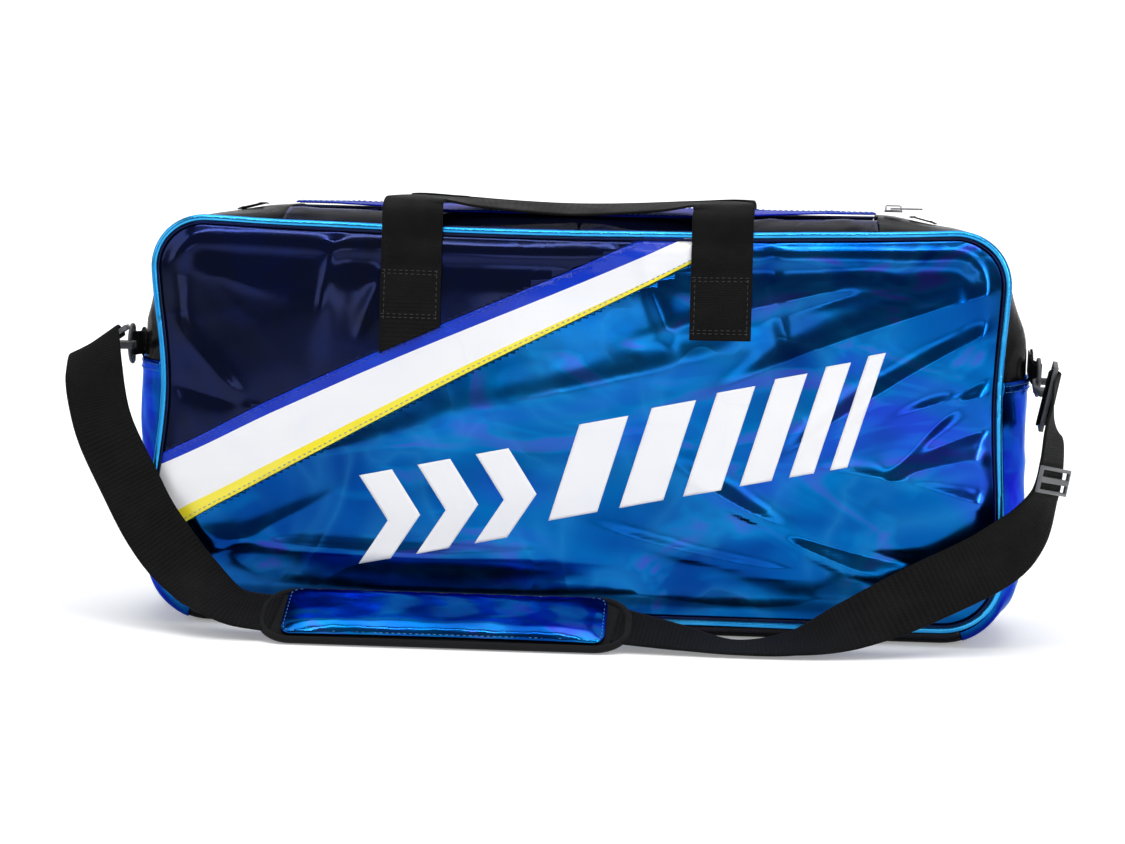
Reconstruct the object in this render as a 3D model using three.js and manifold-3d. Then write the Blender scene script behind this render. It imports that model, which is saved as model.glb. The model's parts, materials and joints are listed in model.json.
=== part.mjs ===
import * as THREE from "three";
import { mergeVertices } from "three/addons/utils/BufferGeometryUtils.js";
import Module from "manifold-3d";

// A soft-sided racket tournament bag. Millimetres, +X right, +Y to the back, +Z up.
// The origin is the centre of the base, on the surface that the bag stands on.

// Body
const panelLength = 704; // front panel, piping centre to piping centre
const panelHeight = 326;
const cornerRadius = 46;
const bodyDepth = 185; // front piping to rear piping
const pipingDiameter = 6;
const baseDrop = 14; // the bottom hangs this far below the lower piping
const crownRise = 12; // the top stands this far above the upper piping
const endBulge = 24; // each end stands this far out from its piping
const baseFlatShare = 0.8; // share of the depth over which the bottom is flat
const clearance = 0.3; // between neighbouring pieces
const shellWall = 2;
const foamWall = 4;
const liningWall = 0.8;
const liningGap = 1.3; // lining, in from the gusset
const seamHeight = 218; // top hem of the lower end panels

// Diagonal band on the front panel: height at the panel's middle and rise per millimetre of x
const bandTop = { height: 311, slope: 0.485 };
const bandFoot = { height: 265, slope: 0.555 };

// Mouth and zip
const flapLength = 490;
const hingeInset = 6.5; // flap edge, in from the piping centre
const facingReach = 48; // the facing's outer edge, from the zip's middle
const facingEdge = 9; // the facing's inner edge, from the zip's middle
const tapeReach = 20;
const tapeWall = 0.8;
const coilHalfWidth = 3.4;
const coilGap = 0.6; // each row of coil, from the zip's middle
const coilRise = 0.4; // coil above the crown
const coilRoot = 3.4; // top of the tape below the crown
const sliderLength = 15;
const sliderWidth = 10;
const sliderWall = 1.8;
const sliderLift = 0.4; // slider above the coil
const pullLength = 26;
const pullWidth = 7;
const pullWall = 1.4;

// Handles
const webbingWidth = 50;
const webbingWall = 2.4;
const handleMiddle = -8; // the pair of legs, from the bag's middle
const legSpacing = 254; // leg to leg, centres
const legDrop = 90; // the sewn leg, down from the top piping
const legTopRise = 4; // top of the sewn leg above the piping
const loopStartRise = 12; // start of the free loop above the piping
const loopStandOff = 4.5; // free loop, out from the piping plane
const loopReach = 38; // free loop's middle, from the zip's middle
const loopHeight = 4.6; // free loop's middle above the crown
const loopHump = 22; // free loop above the piping, where it turns over the edge

// Strap fittings
const pivotHeight = 228;
const anchorHalf = 12.5;
const anchorWall = 1.6;
const tabWidth = 20;
const tabWall = 1.6;
const ringBarReach = 23; // D-ring bar, from the pivot
const ringWire = 4;
const ringDepth = 16.5;
const ringStandOff = 6.4; // ring's plane, out from the tab's inner face
const hookWall = 6;
const hookArm = 3;
const hookEyeWidth = 11;
const hookEyeLength = 14;
const frameLength = 14;
const frameWall = 4;
const frameRim = 3.6;
const strapWall = 2.4;
const strapGap = 2; // strap ends, from the hook's bar and from the pad
const strapLead = 11.5; // strap's first turn, in front of the hook's bar
const rightDroop = 20; // degrees that the right fitting hangs below level

// Three-bar slide on the strap
const adjusterLength = 22;
const adjusterWall = 3;
const adjusterRim = 3;
const adjusterSlot = 5.5;
const adjusterSlotPlace = 5.2; // each slot's middle, from the slide's

// Shoulder pad
const padLength = 300;
const padWidth = 70;
const padBaseWall = 5;
const padCoverLength = 258;
const padCoverWidth = 64;
const padCoverWall = 7;
const padMiddle = -97;
const padFromPanel = 55; // pad's middle, out from the front piping plane
const padTilt = 26; // degrees, back edge up
const padLift = 16;

// Stiffener
const boardWall = 3;
const boardMargin = 18;

const halfLength = panelLength / 2;
const halfHeight = panelHeight / 2;
const halfDepth = bodyDepth / 2;
const middleZ = baseDrop + halfHeight;
const topZ = baseDrop + panelHeight;
const crownZ = topZ + crownRise;
const pipingRadius = pipingDiameter / 2;
const straightLength = panelLength - 2 * cornerRadius;
const straightHeight = panelHeight - 2 * cornerRadius;
const cornerArc = (Math.PI / 2) * cornerRadius;
const outlineTotal = 2 * (straightLength + straightHeight) + 4 * cornerArc;
const endX = halfLength + endBulge;
const panelFace = halfDepth + shellWall / 2;
const gussetEdge = halfDepth - pipingRadius - clearance;
const gussetDepths = [-1, -baseFlatShare, -0.5, -0.2, 0.2, 0.5, baseFlatShare, 1].map((k) => k * gussetEdge);
const legs = [handleMiddle - legSpacing / 2, handleMiddle + legSpacing / 2];

const wasm = await Module();
wasm.setup();

const bag = new THREE.Group();

function matt(color, roughness = 0.85, metalness = 0) {
  return new THREE.MeshStandardMaterial({ color, roughness, metalness });
}

const looks = {
  blueSheet: matt(0x0c62a8, 0.22, 0.35),
  navySheet: matt(0x1b2140, 0.2),
  blackCloth: matt(0x18181b),
  whiteSheet: matt(0xf2f2f4, 0.35),
  piping: matt(0x4fb2ea, 0.3),
  royalCloth: matt(0x1d3cc0, 0.55),
  webbing: matt(0x1b1a1c, 0.9),
  zip: matt(0x20253a, 0.6),
  metal: matt(0x3a3c42, 0.35, 0.9),
  plastic: matt(0x55565b, 0.5),
  foam: matt(0xd8d8d4, 0.95),
  lining: matt(0x30343c, 0.9),
  board: matt(0x2a2a2c, 0.8),
};

function add(name, geometry, material, parent = bag) {
  const mesh = new THREE.Mesh(geometry, material);
  mesh.name = name;
  parent.add(mesh);
  return mesh;
}

const lerp = THREE.MathUtils.lerp;
const smooth = THREE.MathUtils.smoothstep;

// A box of nu x nv x nw cells, each corner moved to where map(u, v, w) says
function warpedBox(nu, nv, nw, map) {
  const geometry = new THREE.BoxGeometry(1, 1, 1, nu, nv, nw);
  const place = geometry.getAttribute("position");
  for (let i = 0; i < place.count; i++) {
    const [u, v, w] = [place.getX(i) + 0.5, place.getY(i) + 0.5, place.getZ(i) + 0.5];
    place.setXYZ(i, ...map(u, v, w));
  }
  return geometry;
}

// Point and outward normal on the piping outline, clockwise from the left end of the top straight
function outlineAt(distance) {
  let s = THREE.MathUtils.euclideanModulo(distance, outlineTotal);
  const hx = halfLength - cornerRadius;
  const hz = halfHeight - cornerRadius;
  const sides = [
    { run: straightLength, from: [-hx, hz + cornerRadius], way: [1, 0], corner: [hx, hz] },
    { run: straightHeight, from: [hx + cornerRadius, hz], way: [0, -1], corner: [hx, -hz] },
    { run: straightLength, from: [hx, -hz - cornerRadius], way: [-1, 0], corner: [-hx, -hz] },
    { run: straightHeight, from: [-hx - cornerRadius, -hz], way: [0, 1], corner: [-hx, hz] },
  ];
  for (const side of sides) {
    const normal = [-side.way[1], side.way[0]];
    if (s <= side.run) {
      const x = side.from[0] + side.way[0] * s;
      const z = side.from[1] + side.way[1] * s;
      return { x, z: z + middleZ, nx: normal[0], nz: normal[1] };
    }
    s -= side.run;
    if (s <= cornerArc) {
      const turn = s / cornerRadius;
      const nx = normal[0] * Math.cos(turn) + side.way[0] * Math.sin(turn);
      const nz = normal[1] * Math.cos(turn) + side.way[1] * Math.sin(turn);
      const x = side.corner[0] + nx * cornerRadius;
      return { x, z: side.corner[1] + nz * cornerRadius + middleZ, nx, nz };
    }
    s -= cornerArc;
  }
  return outlineAt(0);
}

const alongTop = (x) => x + halfLength - cornerRadius;
const downRight = (z) => straightLength + cornerArc + (topZ - cornerRadius - z);
const upLeft = (z) => outlineTotal - cornerArc - (topZ - cornerRadius - z);
const lowerRightCorner = straightLength + straightHeight + 1.5 * cornerArc;
const lowerLeftCorner = 2 * straightLength + straightHeight + 2.5 * cornerArc;

// How far the gusset stands out from the piping outline, at a height's normal and a depth
function bulgeAt(nx, nz, y) {
  const t = Math.min(1, Math.abs(y) / halfDepth);
  const rise = nz > 0 ? crownRise : baseDrop;
  const reach = endBulge * nx * nx + rise * nz * nz;
  const down = nz < 0 ? nz * nz : 0;
  const flat = 1 - (Math.max(0, t - baseFlatShare) / (1 - baseFlatShare)) ** 2;
  return reach * (down * flat + (1 - down) * (1 - t * t));
}

// The same, flat between the gusset's own depths, so that layers of it lie parallel
function facetAt(nx, nz, y) {
  const i = gussetDepths.findIndex((depth) => depth >= y);
  if (i < 1) return bulgeAt(nx, nz, y);
  const [a, b] = [gussetDepths[i - 1], gussetDepths[i]];
  return lerp(bulgeAt(nx, nz, a), bulgeAt(nx, nz, b), (y - a) / (b - a));
}

function stopsBetween(from, to, cornerSteps = 6, longest = 130) {
  const knots = [];
  for (let lap = -1; lap <= 1; lap++) {
    let s = lap * outlineTotal;
    for (const run of [straightLength, straightHeight, straightLength, straightHeight]) {
      const steps = Math.ceil(run / longest);
      for (let i = 0; i < steps; i++) knots.push(s + (run * i) / steps);
      for (let i = 0; i < cornerSteps; i++) knots.push(s + run + (cornerArc * i) / cornerSteps);
      s += run + cornerArc;
    }
  }
  const inside = knots.filter((k) => k > from + 2 && k < to - 2);
  return [from, ...inside, to];
}

// A strip of gusset from outline distance `from` to `to` and depth y0 to y1,
// between two offsets from the bulged surface
function gussetStrip(from, to, depths, inner, outer) {
  const stops = stopsBetween(from, to);
  return warpedBox(stops.length - 1, depths.length - 1, 1, (u, v, w) => {
    const at = outlineAt(stops[Math.round(u * (stops.length - 1))]);
    const y = depths[Math.round(v * (depths.length - 1))];
    const out = facetAt(at.nx, at.nz, y) + lerp(inner, outer, w);
    return [at.x + at.nx * out, y, at.z + at.nz * out];
  });
}

function roundedOutline(inset, cornerSteps = 6) {
  const points = [];
  for (const [sx, sz, start] of [[1, 1, 0], [-1, 1, 1], [-1, -1, 2], [1, -1, 3]]) {
    for (let i = 0; i <= cornerSteps; i++) {
      const turn = ((start + i / cornerSteps) * Math.PI) / 2;
      const r = cornerRadius - inset;
      const x = sx * (halfLength - cornerRadius) + r * Math.cos(turn);
      points.push(new THREE.Vector2(x, middleZ + sz * (halfHeight - cornerRadius) + r * Math.sin(turn)));
    }
  }
  return points;
}

// The part of an outline on one side of the line z = height + slope x, kept clear of it by a gap
function clipOutline(points, line, above, gap) {
  const lean = Math.hypot(1, line.slope);
  const over = (p) => (above ? 1 : -1) * (p.y - line.height - line.slope * p.x) - gap * lean;
  const kept = [];
  points.forEach((p, i) => {
    const q = points[(i + 1) % points.length];
    const [a, b] = [over(p), over(q)];
    if (a >= 0) kept.push(p);
    if (a * b < 0) kept.push(p.clone().lerp(q, a / (a - b)));
  });
  return kept;
}

// A flat sheet with an outline in x and z, from depth y0 back to y1
function upright(points, y0, y1) {
  const sheet = new THREE.ExtrudeGeometry(new THREE.Shape(points), { depth: y1 - y0, bevelEnabled: false });
  return sheet.rotateX(Math.PI / 2).translate(0, y1, 0);
}

function solidFrom(geometry) {
  const bare = geometry.clone();
  bare.deleteAttribute("normal");
  bare.deleteAttribute("uv");
  const merged = mergeVertices(bare, 1e-4);
  const index = merged.index.array;
  return new wasm.Manifold(
    new wasm.Mesh({
      numProp: 3,
      vertProperties: new Float32Array(merged.getAttribute("position").array),
      triVerts: new Uint32Array(index),
    }),
  );
}

function geometryFrom(solid) {
  const mesh = solid.getMesh();
  const geometry = new THREE.BufferGeometry();
  geometry.setAttribute("position", new THREE.BufferAttribute(new Float32Array(mesh.vertProperties), 3));
  geometry.setIndex(new THREE.BufferAttribute(new Uint32Array(mesh.triVerts), 1));
  geometry.computeVertexNormals();
  return geometry;
}

// Webbing along a curve: points with the direction of its width at each
function webbing(route, width, wall, steps) {
  const curve = new THREE.CatmullRomCurve3(route.map((r) => new THREE.Vector3(...r.at)));
  return warpedBox(steps, 2, 1, (u, v, w) => {
    const place = curve.getPoint(u);
    const tangent = curve.getTangent(u);
    const share = u * (route.length - 1);
    const i = Math.min(route.length - 2, Math.floor(share));
    const across = new THREE.Vector3(...route[i].wide).lerp(new THREE.Vector3(...route[i + 1].wide), share - i);
    across.addScaledVector(tangent, -across.dot(tangent)).normalize();
    const through = tangent.clone().cross(across);
    place.addScaledVector(across, (v - 0.5) * width).addScaledVector(through, (w - 0.5) * wall);
    return place.toArray();
  });
}

function frontAndBackPanels() {
  const outline = roundedOutline(pipingRadius + clearance);
  const [y0, y1] = [-panelFace, -panelFace + shellWall];
  const gap = clearance / 2;
  const above = clipOutline(outline, bandTop, true, gap);
  const under = clipOutline(outline, bandFoot, false, gap);
  const band = clipOutline(clipOutline(outline, bandTop, false, gap), bandFoot, true, gap);
  add("front_panel_navy", upright(above, y0, y1), looks.navySheet);
  add("front_panel_band", upright(band, y0, y1), looks.whiteSheet);
  add("front_panel_blue", upright(under, y0, y1), looks.blueSheet);
  add("back_panel", upright(outline, -y1, -y0), looks.blueSheet);
}

function linings() {
  const inset = pipingRadius + 2 * clearance;
  const foamBack = panelFace - shellWall - clearance;
  const foamFront = foamBack - foamWall;
  const liningBack = foamFront - clearance;
  const liningFront = liningBack - liningWall;
  const foam = roundedOutline(inset);
  for (const [name, side] of [["front", -1], ["back", 1]]) {
    const place = (a, b) => (side < 0 ? [-b, -a] : [a, b]);
    add(name + "_foam", upright(foam, ...place(foamFront, foamBack)), looks.foam);
    add(name + "_lining", upright(foam, ...place(liningFront, liningBack)), looks.lining);
  }
  const reach = liningFront - clearance;
  const both = gussetDepths.map((y) => THREE.MathUtils.clamp(y, -reach, reach));
  const start = alongTop(flapLength / 2 + 2 * boardMargin);
  const end = alongTop(-flapLength / 2 - 2 * boardMargin) + outlineTotal;
  const outer = -shellWall - liningGap;
  add("gusset_lining", gussetStrip(start, end, both, outer - liningWall, outer), looks.lining);
  const boardHalf = baseFlatShare * gussetEdge - clearance;
  const boardLength = straightLength - 2 * boardMargin;
  const boardZ = shellWall + liningGap + liningWall + clearance;
  const board = new THREE.BoxGeometry(boardLength, 2 * boardHalf, boardWall);
  add("base_board", board.translate(0, 0, boardZ + boardWall / 2), looks.board);
}

// The outline as a closed curve, with its points closer together round the corners
class PipingRoute extends THREE.Curve {
  constructor() {
    super();
    this.stops = stopsBetween(0, outlineTotal, 8, 130);
  }
  getPoint(t) {
    const share = t * (this.stops.length - 1);
    const i = Math.min(this.stops.length - 2, Math.floor(share));
    const at = outlineAt(lerp(this.stops[i], this.stops[i + 1], share - i));
    return new THREE.Vector3(at.x, 0, at.z);
  }
  getPointAt(u) {
    return this.getPoint(u);
  }
  getTangentAt(u) {
    return this.getTangent(u);
  }
}

function pipings() {
  for (const [name, y] of [["front_piping", -halfDepth], ["rear_piping", halfDepth]]) {
    const route = new PipingRoute();
    const ring = new THREE.TubeGeometry(route, route.stops.length - 1, pipingRadius, 7, true);
    add(name, ring.translate(0, y, 0), looks.piping);
  }
}

function gusset() {
  const g = clearance / 2;
  const mouth = flapLength / 2 + clearance;
  const [right, left] = [downRight(seamHeight), upLeft(seamHeight)];
  const strips = [
    ["right_end_upper", alongTop(mouth), right - g, looks.blackCloth],
    ["right_end_lower", right + g, lowerRightCorner - g, looks.blueSheet],
    ["bottom_panel", lowerRightCorner + g, lowerLeftCorner - g, looks.blackCloth],
    ["left_end_lower", lowerLeftCorner + g, left - g, looks.blueSheet],
    ["left_end_upper", left + g, alongTop(-mouth) + outlineTotal, looks.blackCloth],
  ];
  for (const [name, from, to, look] of strips) {
    add(name, gussetStrip(from, to, gussetDepths, -shellWall, 0), look);
  }
}

function mouth() {
  const [from, to] = [alongTop(-flapLength / 2), alongTop(flapLength / 2)];
  const hinge = halfDepth - hingeInset;
  const flapInner = facingReach + clearance;
  const flapDepths = [-hinge, -lerp(hinge, flapInner, 0.5), -flapInner];
  const facingDepths = [-facingReach, -lerp(facingReach, facingEdge, 0.5), -facingEdge];
  const turned = (depths) => depths.map((y) => -y).reverse();
  for (const [name, side] of [["front", -1], ["rear", 1]]) {
    const way = (depths) => (side < 0 ? depths : turned(depths));
    add(name + "_flap", gussetStrip(from, to, way(flapDepths), -shellWall, 0), looks.navySheet);
    add(name + "_facing", gussetStrip(from, to, way(facingDepths), -shellWall, 0), looks.royalCloth);
    const tape = new THREE.Shape();
    const tapeTop = crownZ - coilRoot;
    tape.moveTo(-tapeReach, tapeTop - tapeWall);
    tape.lineTo(-coilGap, tapeTop - tapeWall);
    tape.lineTo(-coilGap, crownZ + coilRise);
    tape.lineTo(-coilHalfWidth, crownZ + coilRise);
    tape.lineTo(-coilHalfWidth, tapeTop);
    tape.lineTo(-tapeReach, tapeTop);
    const strip = new THREE.ExtrudeGeometry(tape, { depth: flapLength, bevelEnabled: false });
    strip.translate(0, 0, -flapLength / 2);
    const lay = new THREE.Matrix4().makeBasis(
      new THREE.Vector3(0, 1, 0),
      new THREE.Vector3(0, 0, 1),
      new THREE.Vector3(1, 0, 0),
    );
    strip.applyMatrix4(lay);
    const tapeMesh = add(name + "_zip_tape", strip, looks.zip);
    if (side > 0) tapeMesh.rotation.z = Math.PI;
  }
  zipSlider();
}

// A tapered slider plate with a bridge, and the pull that hangs from the bridge
function zipSlider() {
  const x = flapLength / 2 + sliderLength;
  const z = crownZ + coilRise + sliderLift;
  const [l, w] = [sliderLength / 2, sliderWidth / 2];
  const plan = new THREE.Shape([
    new THREE.Vector2(-l, -0.7 * w),
    new THREE.Vector2(0, -w),
    new THREE.Vector2(l, -w),
    new THREE.Vector2(l, w),
    new THREE.Vector2(0, w),
    new THREE.Vector2(-l, 0.7 * w),
  ]);
  const plate = new THREE.ExtrudeGeometry(plan, { depth: sliderWall, bevelEnabled: false });
  const bridgeHeight = 4.2;
  const bridgeWall = 1.2;
  const bridgeHole = new THREE.Path();
  const [bl, bh] = [l - bridgeWall - 0.6, bridgeHeight - bridgeWall];
  const side = new THREE.Shape([
    new THREE.Vector2(-l + 0.6, -0.2),
    new THREE.Vector2(l - 0.6, -0.2),
    new THREE.Vector2(l - 0.6, bridgeHeight - 1),
    new THREE.Vector2(l - 2, bridgeHeight),
    new THREE.Vector2(-l + 2, bridgeHeight),
    new THREE.Vector2(-l + 0.6, bridgeHeight - 1),
  ]);
  bridgeHole.setFromPoints([
    new THREE.Vector2(-bl, 0.2),
    new THREE.Vector2(-bl, bh),
    new THREE.Vector2(bl, bh),
    new THREE.Vector2(bl, 0.2),
  ]);
  side.holes.push(bridgeHole);
  const bridge = new THREE.ExtrudeGeometry(side, { depth: 2.6, bevelEnabled: false });
  bridge.translate(0, 0, -1.3).rotateX(Math.PI / 2).translate(0, 0, sliderWall);
  const slider = add("zip_slider", geometryFrom(solidFrom(plate).add(solidFrom(bridge))), looks.metal);
  slider.position.set(x, 0, z);

  // The pull lies along the zip with a loop round the bridge
  const pull = new THREE.Shape();
  const half = pullWidth / 2;
  pull.moveTo(-1, -half);
  pull.lineTo(pullLength - half, -half);
  pull.absarc(pullLength - half, 0, half, -Math.PI / 2, Math.PI / 2, false);
  pull.lineTo(-1, half);
  const loop = new THREE.Path();
  loop.setFromPoints([
    new THREE.Vector2(0.2, -1.9),
    new THREE.Vector2(0.2, 1.9),
    new THREE.Vector2(9.6, 1.9),
    new THREE.Vector2(9.6, -1.9),
  ]);
  pull.holes.push(loop);
  const tag = new THREE.ExtrudeGeometry(pull, { depth: pullWall, bevelEnabled: false });
  const tagMesh = add("zip_pull", tag, looks.metal);
  tagMesh.position.set(x - 1.5, 0, z + sliderWall + 0.5);
}

function handles() {
  const legFace = panelFace + clearance;
  for (const [end, side] of [["front", -1], ["rear", 1]]) {
    for (const [hand, x] of [["left", legs[0]], ["right", legs[1]]]) {
      const foot = (at) => {
        const plain = topZ - legDrop;
        if (side > 0 || hand === "right") return plain;
        return Math.max(plain, bandTop.height + bandTop.slope * at + clearance);
      };
      const leg = warpedBox(6, 2, 1, (u, v, w) => {
        const acrossX = x + side * (v - 0.5) * webbingWidth;
        const z = lerp(foot(acrossX), topZ + legTopRise, u);
        const overPiping = smooth(z, topZ - 20, topZ - pipingRadius - 2);
        const stand = legFace + overPiping * (pipingRadius - shellWall / 2 + clearance);
        return [acrossX, side * (stand + w * webbingWall), z];
      });
      add(`${end}_handle_leg_${hand}`, leg, looks.webbing);
    }
    const out = side * (halfDepth + loopStandOff);
    const rise = crownZ + loopHeight;
    const turn = 0.5 * legSpacing;
    const spots = [
      [-turn, out, topZ + loopStartRise, [1, 0, 0]],
      [-turn, side * (halfDepth - 7), topZ + loopHump, [1, 0, 0]],
      [-turn + 10, side * (halfDepth - 29), topZ + loopHump, [0.75, side * 0.65, 0]],
      [-turn + 46, side * (loopReach + 7), rise + 2, [0.3, side * 0.95, 0]],
      [0, side * loopReach, rise, [0, side, 0]],
    ];
    const half = spots.map(([a, y, z, wide]) => ({ at: [handleMiddle + a, y, z], wide }));
    const rest = spots.slice(0, 4).reverse();
    const other = rest.map(([a, y, z, d]) => ({ at: [handleMiddle - a, y, z], wide: [-d[0], d[1], 0] }));
    add(`${end}_handle_loop`, webbing([...half, ...other], webbingWidth, webbingWall, 32), looks.webbing);
  }
}

// The fitting at one end, drawn in a frame of its own: p runs forward from the pivot,
// q out from the end panel, h up or down
function strapFitting(hand, side, droop, frame) {
  const fixed = new THREE.Group();
  const moving = new THREE.Group();
  const forward = new THREE.Vector3(0, -1, 0);
  const outward = new THREE.Vector3(side, 0, 0);
  const upward = new THREE.Vector3(0, 0, side);
  const basis = new THREE.Matrix4().makeBasis(forward, outward, upward);
  const place = new THREE.Matrix4().makeTranslation(side * (endX + 2 * clearance), 0, pivotHeight);
  const turned = new THREE.Matrix4().makeRotationX(THREE.MathUtils.degToRad(droop));
  place.clone().multiply(basis).decompose(fixed.position, fixed.quaternion, fixed.scale);
  place.clone().multiply(turned).multiply(basis).decompose(moving.position, moving.quaternion, moving.scale);
  bag.add(fixed, moving);

  const flat = (shape, wall, z = 0) =>
    new THREE.ExtrudeGeometry(shape, { depth: wall, bevelEnabled: false, curveSegments: 6 }).translate(0, 0, z - wall / 2);
  const box = (p0, p1, q0, q1, h0, h1) =>
    new THREE.BoxGeometry(p1 - p0, q1 - q0, h1 - h0).translate((p0 + p1) / 2, (q0 + q1) / 2, (h0 + h1) / 2);

  // Sewn patch over the tab's end, standing on a foot behind the tab
  const plateLow = tabWall + clearance;
  const footTop = tabWidth / 2 + 0.8;
  const plate = new THREE.CylinderGeometry(anchorHalf, anchorHalf, anchorWall, 20);
  plate.translate(0, plateLow + anchorWall / 2, 0);
  const low = side > 0 ? [-anchorHalf, -footTop] : [footTop, anchorHalf];
  const foot = box(-anchorHalf / 2, -1.5, 0, plateLow + 0.5, low[0], low[1]);
  add(`${hand}_strap_anchor`, geometryFrom(solidFrom(plate).add(solidFrom(foot))), looks.webbing, fixed);

  // Tab: a strip of webbing folded round the ring's bar
  const [ringP, ringQ] = [ringBarReach, ringStandOff];
  const eye = ringWire / 2 + clearance;
  const wrap = eye + tabWall;
  const tab = new THREE.Shape();
  tab.moveTo(-2, 0);
  tab.lineTo(anchorHalf + 1, 0);
  tab.absarc(ringP, ringQ, wrap, -1.9, 2.2, false);
  tab.lineTo(anchorHalf + 1, tabWall);
  tab.lineTo(-2, tabWall);
  const hole = new THREE.Path();
  hole.absarc(ringP, ringQ, eye, 0, 2 * Math.PI, true);
  tab.holes.push(hole);
  add(`${hand}_ring_tab`, flat(tab, tabWidth), looks.webbing, moving);

  // D-ring: straight bar in the tab and a bow in front of it
  const barHalf = tabWidth / 2 + 0.5;
  const bow = [
    [0, -barHalf - 3],
    [0, -barHalf],
    [0, 0],
    [0, barHalf],
    [0, barHalf + 3],
    [5, barHalf + 5.5],
    [ringDepth - 4.5, barHalf + 1],
    [ringDepth, 0],
    [ringDepth - 4.5, -barHalf - 1],
    [5, -barHalf - 5.5],
  ];
  const ringPath = new THREE.CatmullRomCurve3(
    bow.map(([p, h]) => new THREE.Vector3(ringP + p, ringQ, h)),
    true,
    "catmullrom",
    0.5,
  );
  add(`${hand}_d_ring`, new THREE.TubeGeometry(ringPath, 36, ringWire / 2, 7, true), looks.plastic, moving);

  // Hook: a snap round the ring's bow and a slotted frame for the strap
  const eyeStart = ringP + ringDepth - ringWire / 2 - 0.5;
  const eyeEnd = eyeStart + hookEyeLength;
  const eyeLow = ringQ - ringWire / 2 - 0.5;
  const eyeHigh = eyeLow + hookEyeWidth;
  const arm = hookArm;
  const shankStart = eyeEnd + arm / 2 + clearance;
  const shankEnd = shankStart + 7;
  const frameStart = shankEnd - 1;
  const outline = [
    [shankStart + 1, eyeLow - arm],
    [eyeStart + 1, eyeLow - arm],
    [eyeStart - arm, eyeLow + 1],
    [eyeStart - arm, eyeHigh - 1],
    [eyeStart + 1, eyeHigh + arm],
    [eyeStart + 3, eyeHigh + arm],
    [eyeStart + 3, eyeHigh],
    [eyeStart + 1.5, eyeHigh],
    [eyeStart, eyeHigh - 1.5],
    [eyeStart, eyeLow + 1.5],
    [eyeStart + 1.5, eyeLow],
    [eyeEnd - 3, eyeLow],
    [shankStart, eyeLow + 3],
    [shankStart, eyeHigh + arm + 1],
    [frameStart + 2, frame.stand + 6],
    [frameStart + 2, frame.stand - 6],
  ];
  const snap = solidFrom(flat(new THREE.Shape(outline.map(([p, q]) => new THREE.Vector2(p, q))), hookWall));
  const frameHalf = webbingWidth / 2 + 1 + frameRim;
  const plan = new THREE.Shape([
    new THREE.Vector2(0, -frameHalf),
    new THREE.Vector2(frameLength, -frameHalf),
    new THREE.Vector2(frameLength, frameHalf),
    new THREE.Vector2(0, frameHalf),
  ]);
  const slot = new THREE.Path();
  slot.setFromPoints([
    new THREE.Vector2(frameRim, -frameHalf + frameRim),
    new THREE.Vector2(frameRim, frameHalf - frameRim),
    new THREE.Vector2(frameLength - frameRim, frameHalf - frameRim),
    new THREE.Vector2(frameLength - frameRim, -frameHalf + frameRim),
  ]);
  plan.holes.push(slot);
  const rim = flat(plan, frameWall).rotateX(frame.roll).translate(frameStart, frame.stand, 0);
  add(`${hand}_hook`, geometryFrom(snap.add(solidFrom(rim))), looks.plastic, moving);

  // Gate: closes the snap's open side and turns about its rear end
  const gateHinge = new THREE.Vector3(eyeEnd, eyeHigh + arm / 2, 0);
  const gateTip = eyeStart + 3 + clearance - gateHinge.x;
  const gate = new THREE.Shape();
  gate.moveTo(gateTip, arm / 2);
  gate.lineTo(gateTip, -arm / 2);
  gate.lineTo(0, -arm / 2);
  gate.absarc(0, 0, arm / 2, -Math.PI / 2, Math.PI / 2, false);
  add(`${hand}_hook_gate`, flat(gate, hookWall - 1).translate(...gateHinge.toArray()), looks.metal, moving);

  // Where the strap meets the frame's outer bar, with the bar's direction
  moving.updateMatrixWorld(true);
  const end = new THREE.Vector3(frameStart + frameLength + strapWall / 2 + strapGap, frame.stand, 0);
  const along = new THREE.Vector3(0, Math.cos(frame.roll), Math.sin(frame.roll));
  const wide = along.transformDirection(moving.matrixWorld).multiplyScalar(frame.flip);
  moving.localToWorld(end);
  return { at: end.toArray(), wide: wide.toArray() };
}

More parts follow.
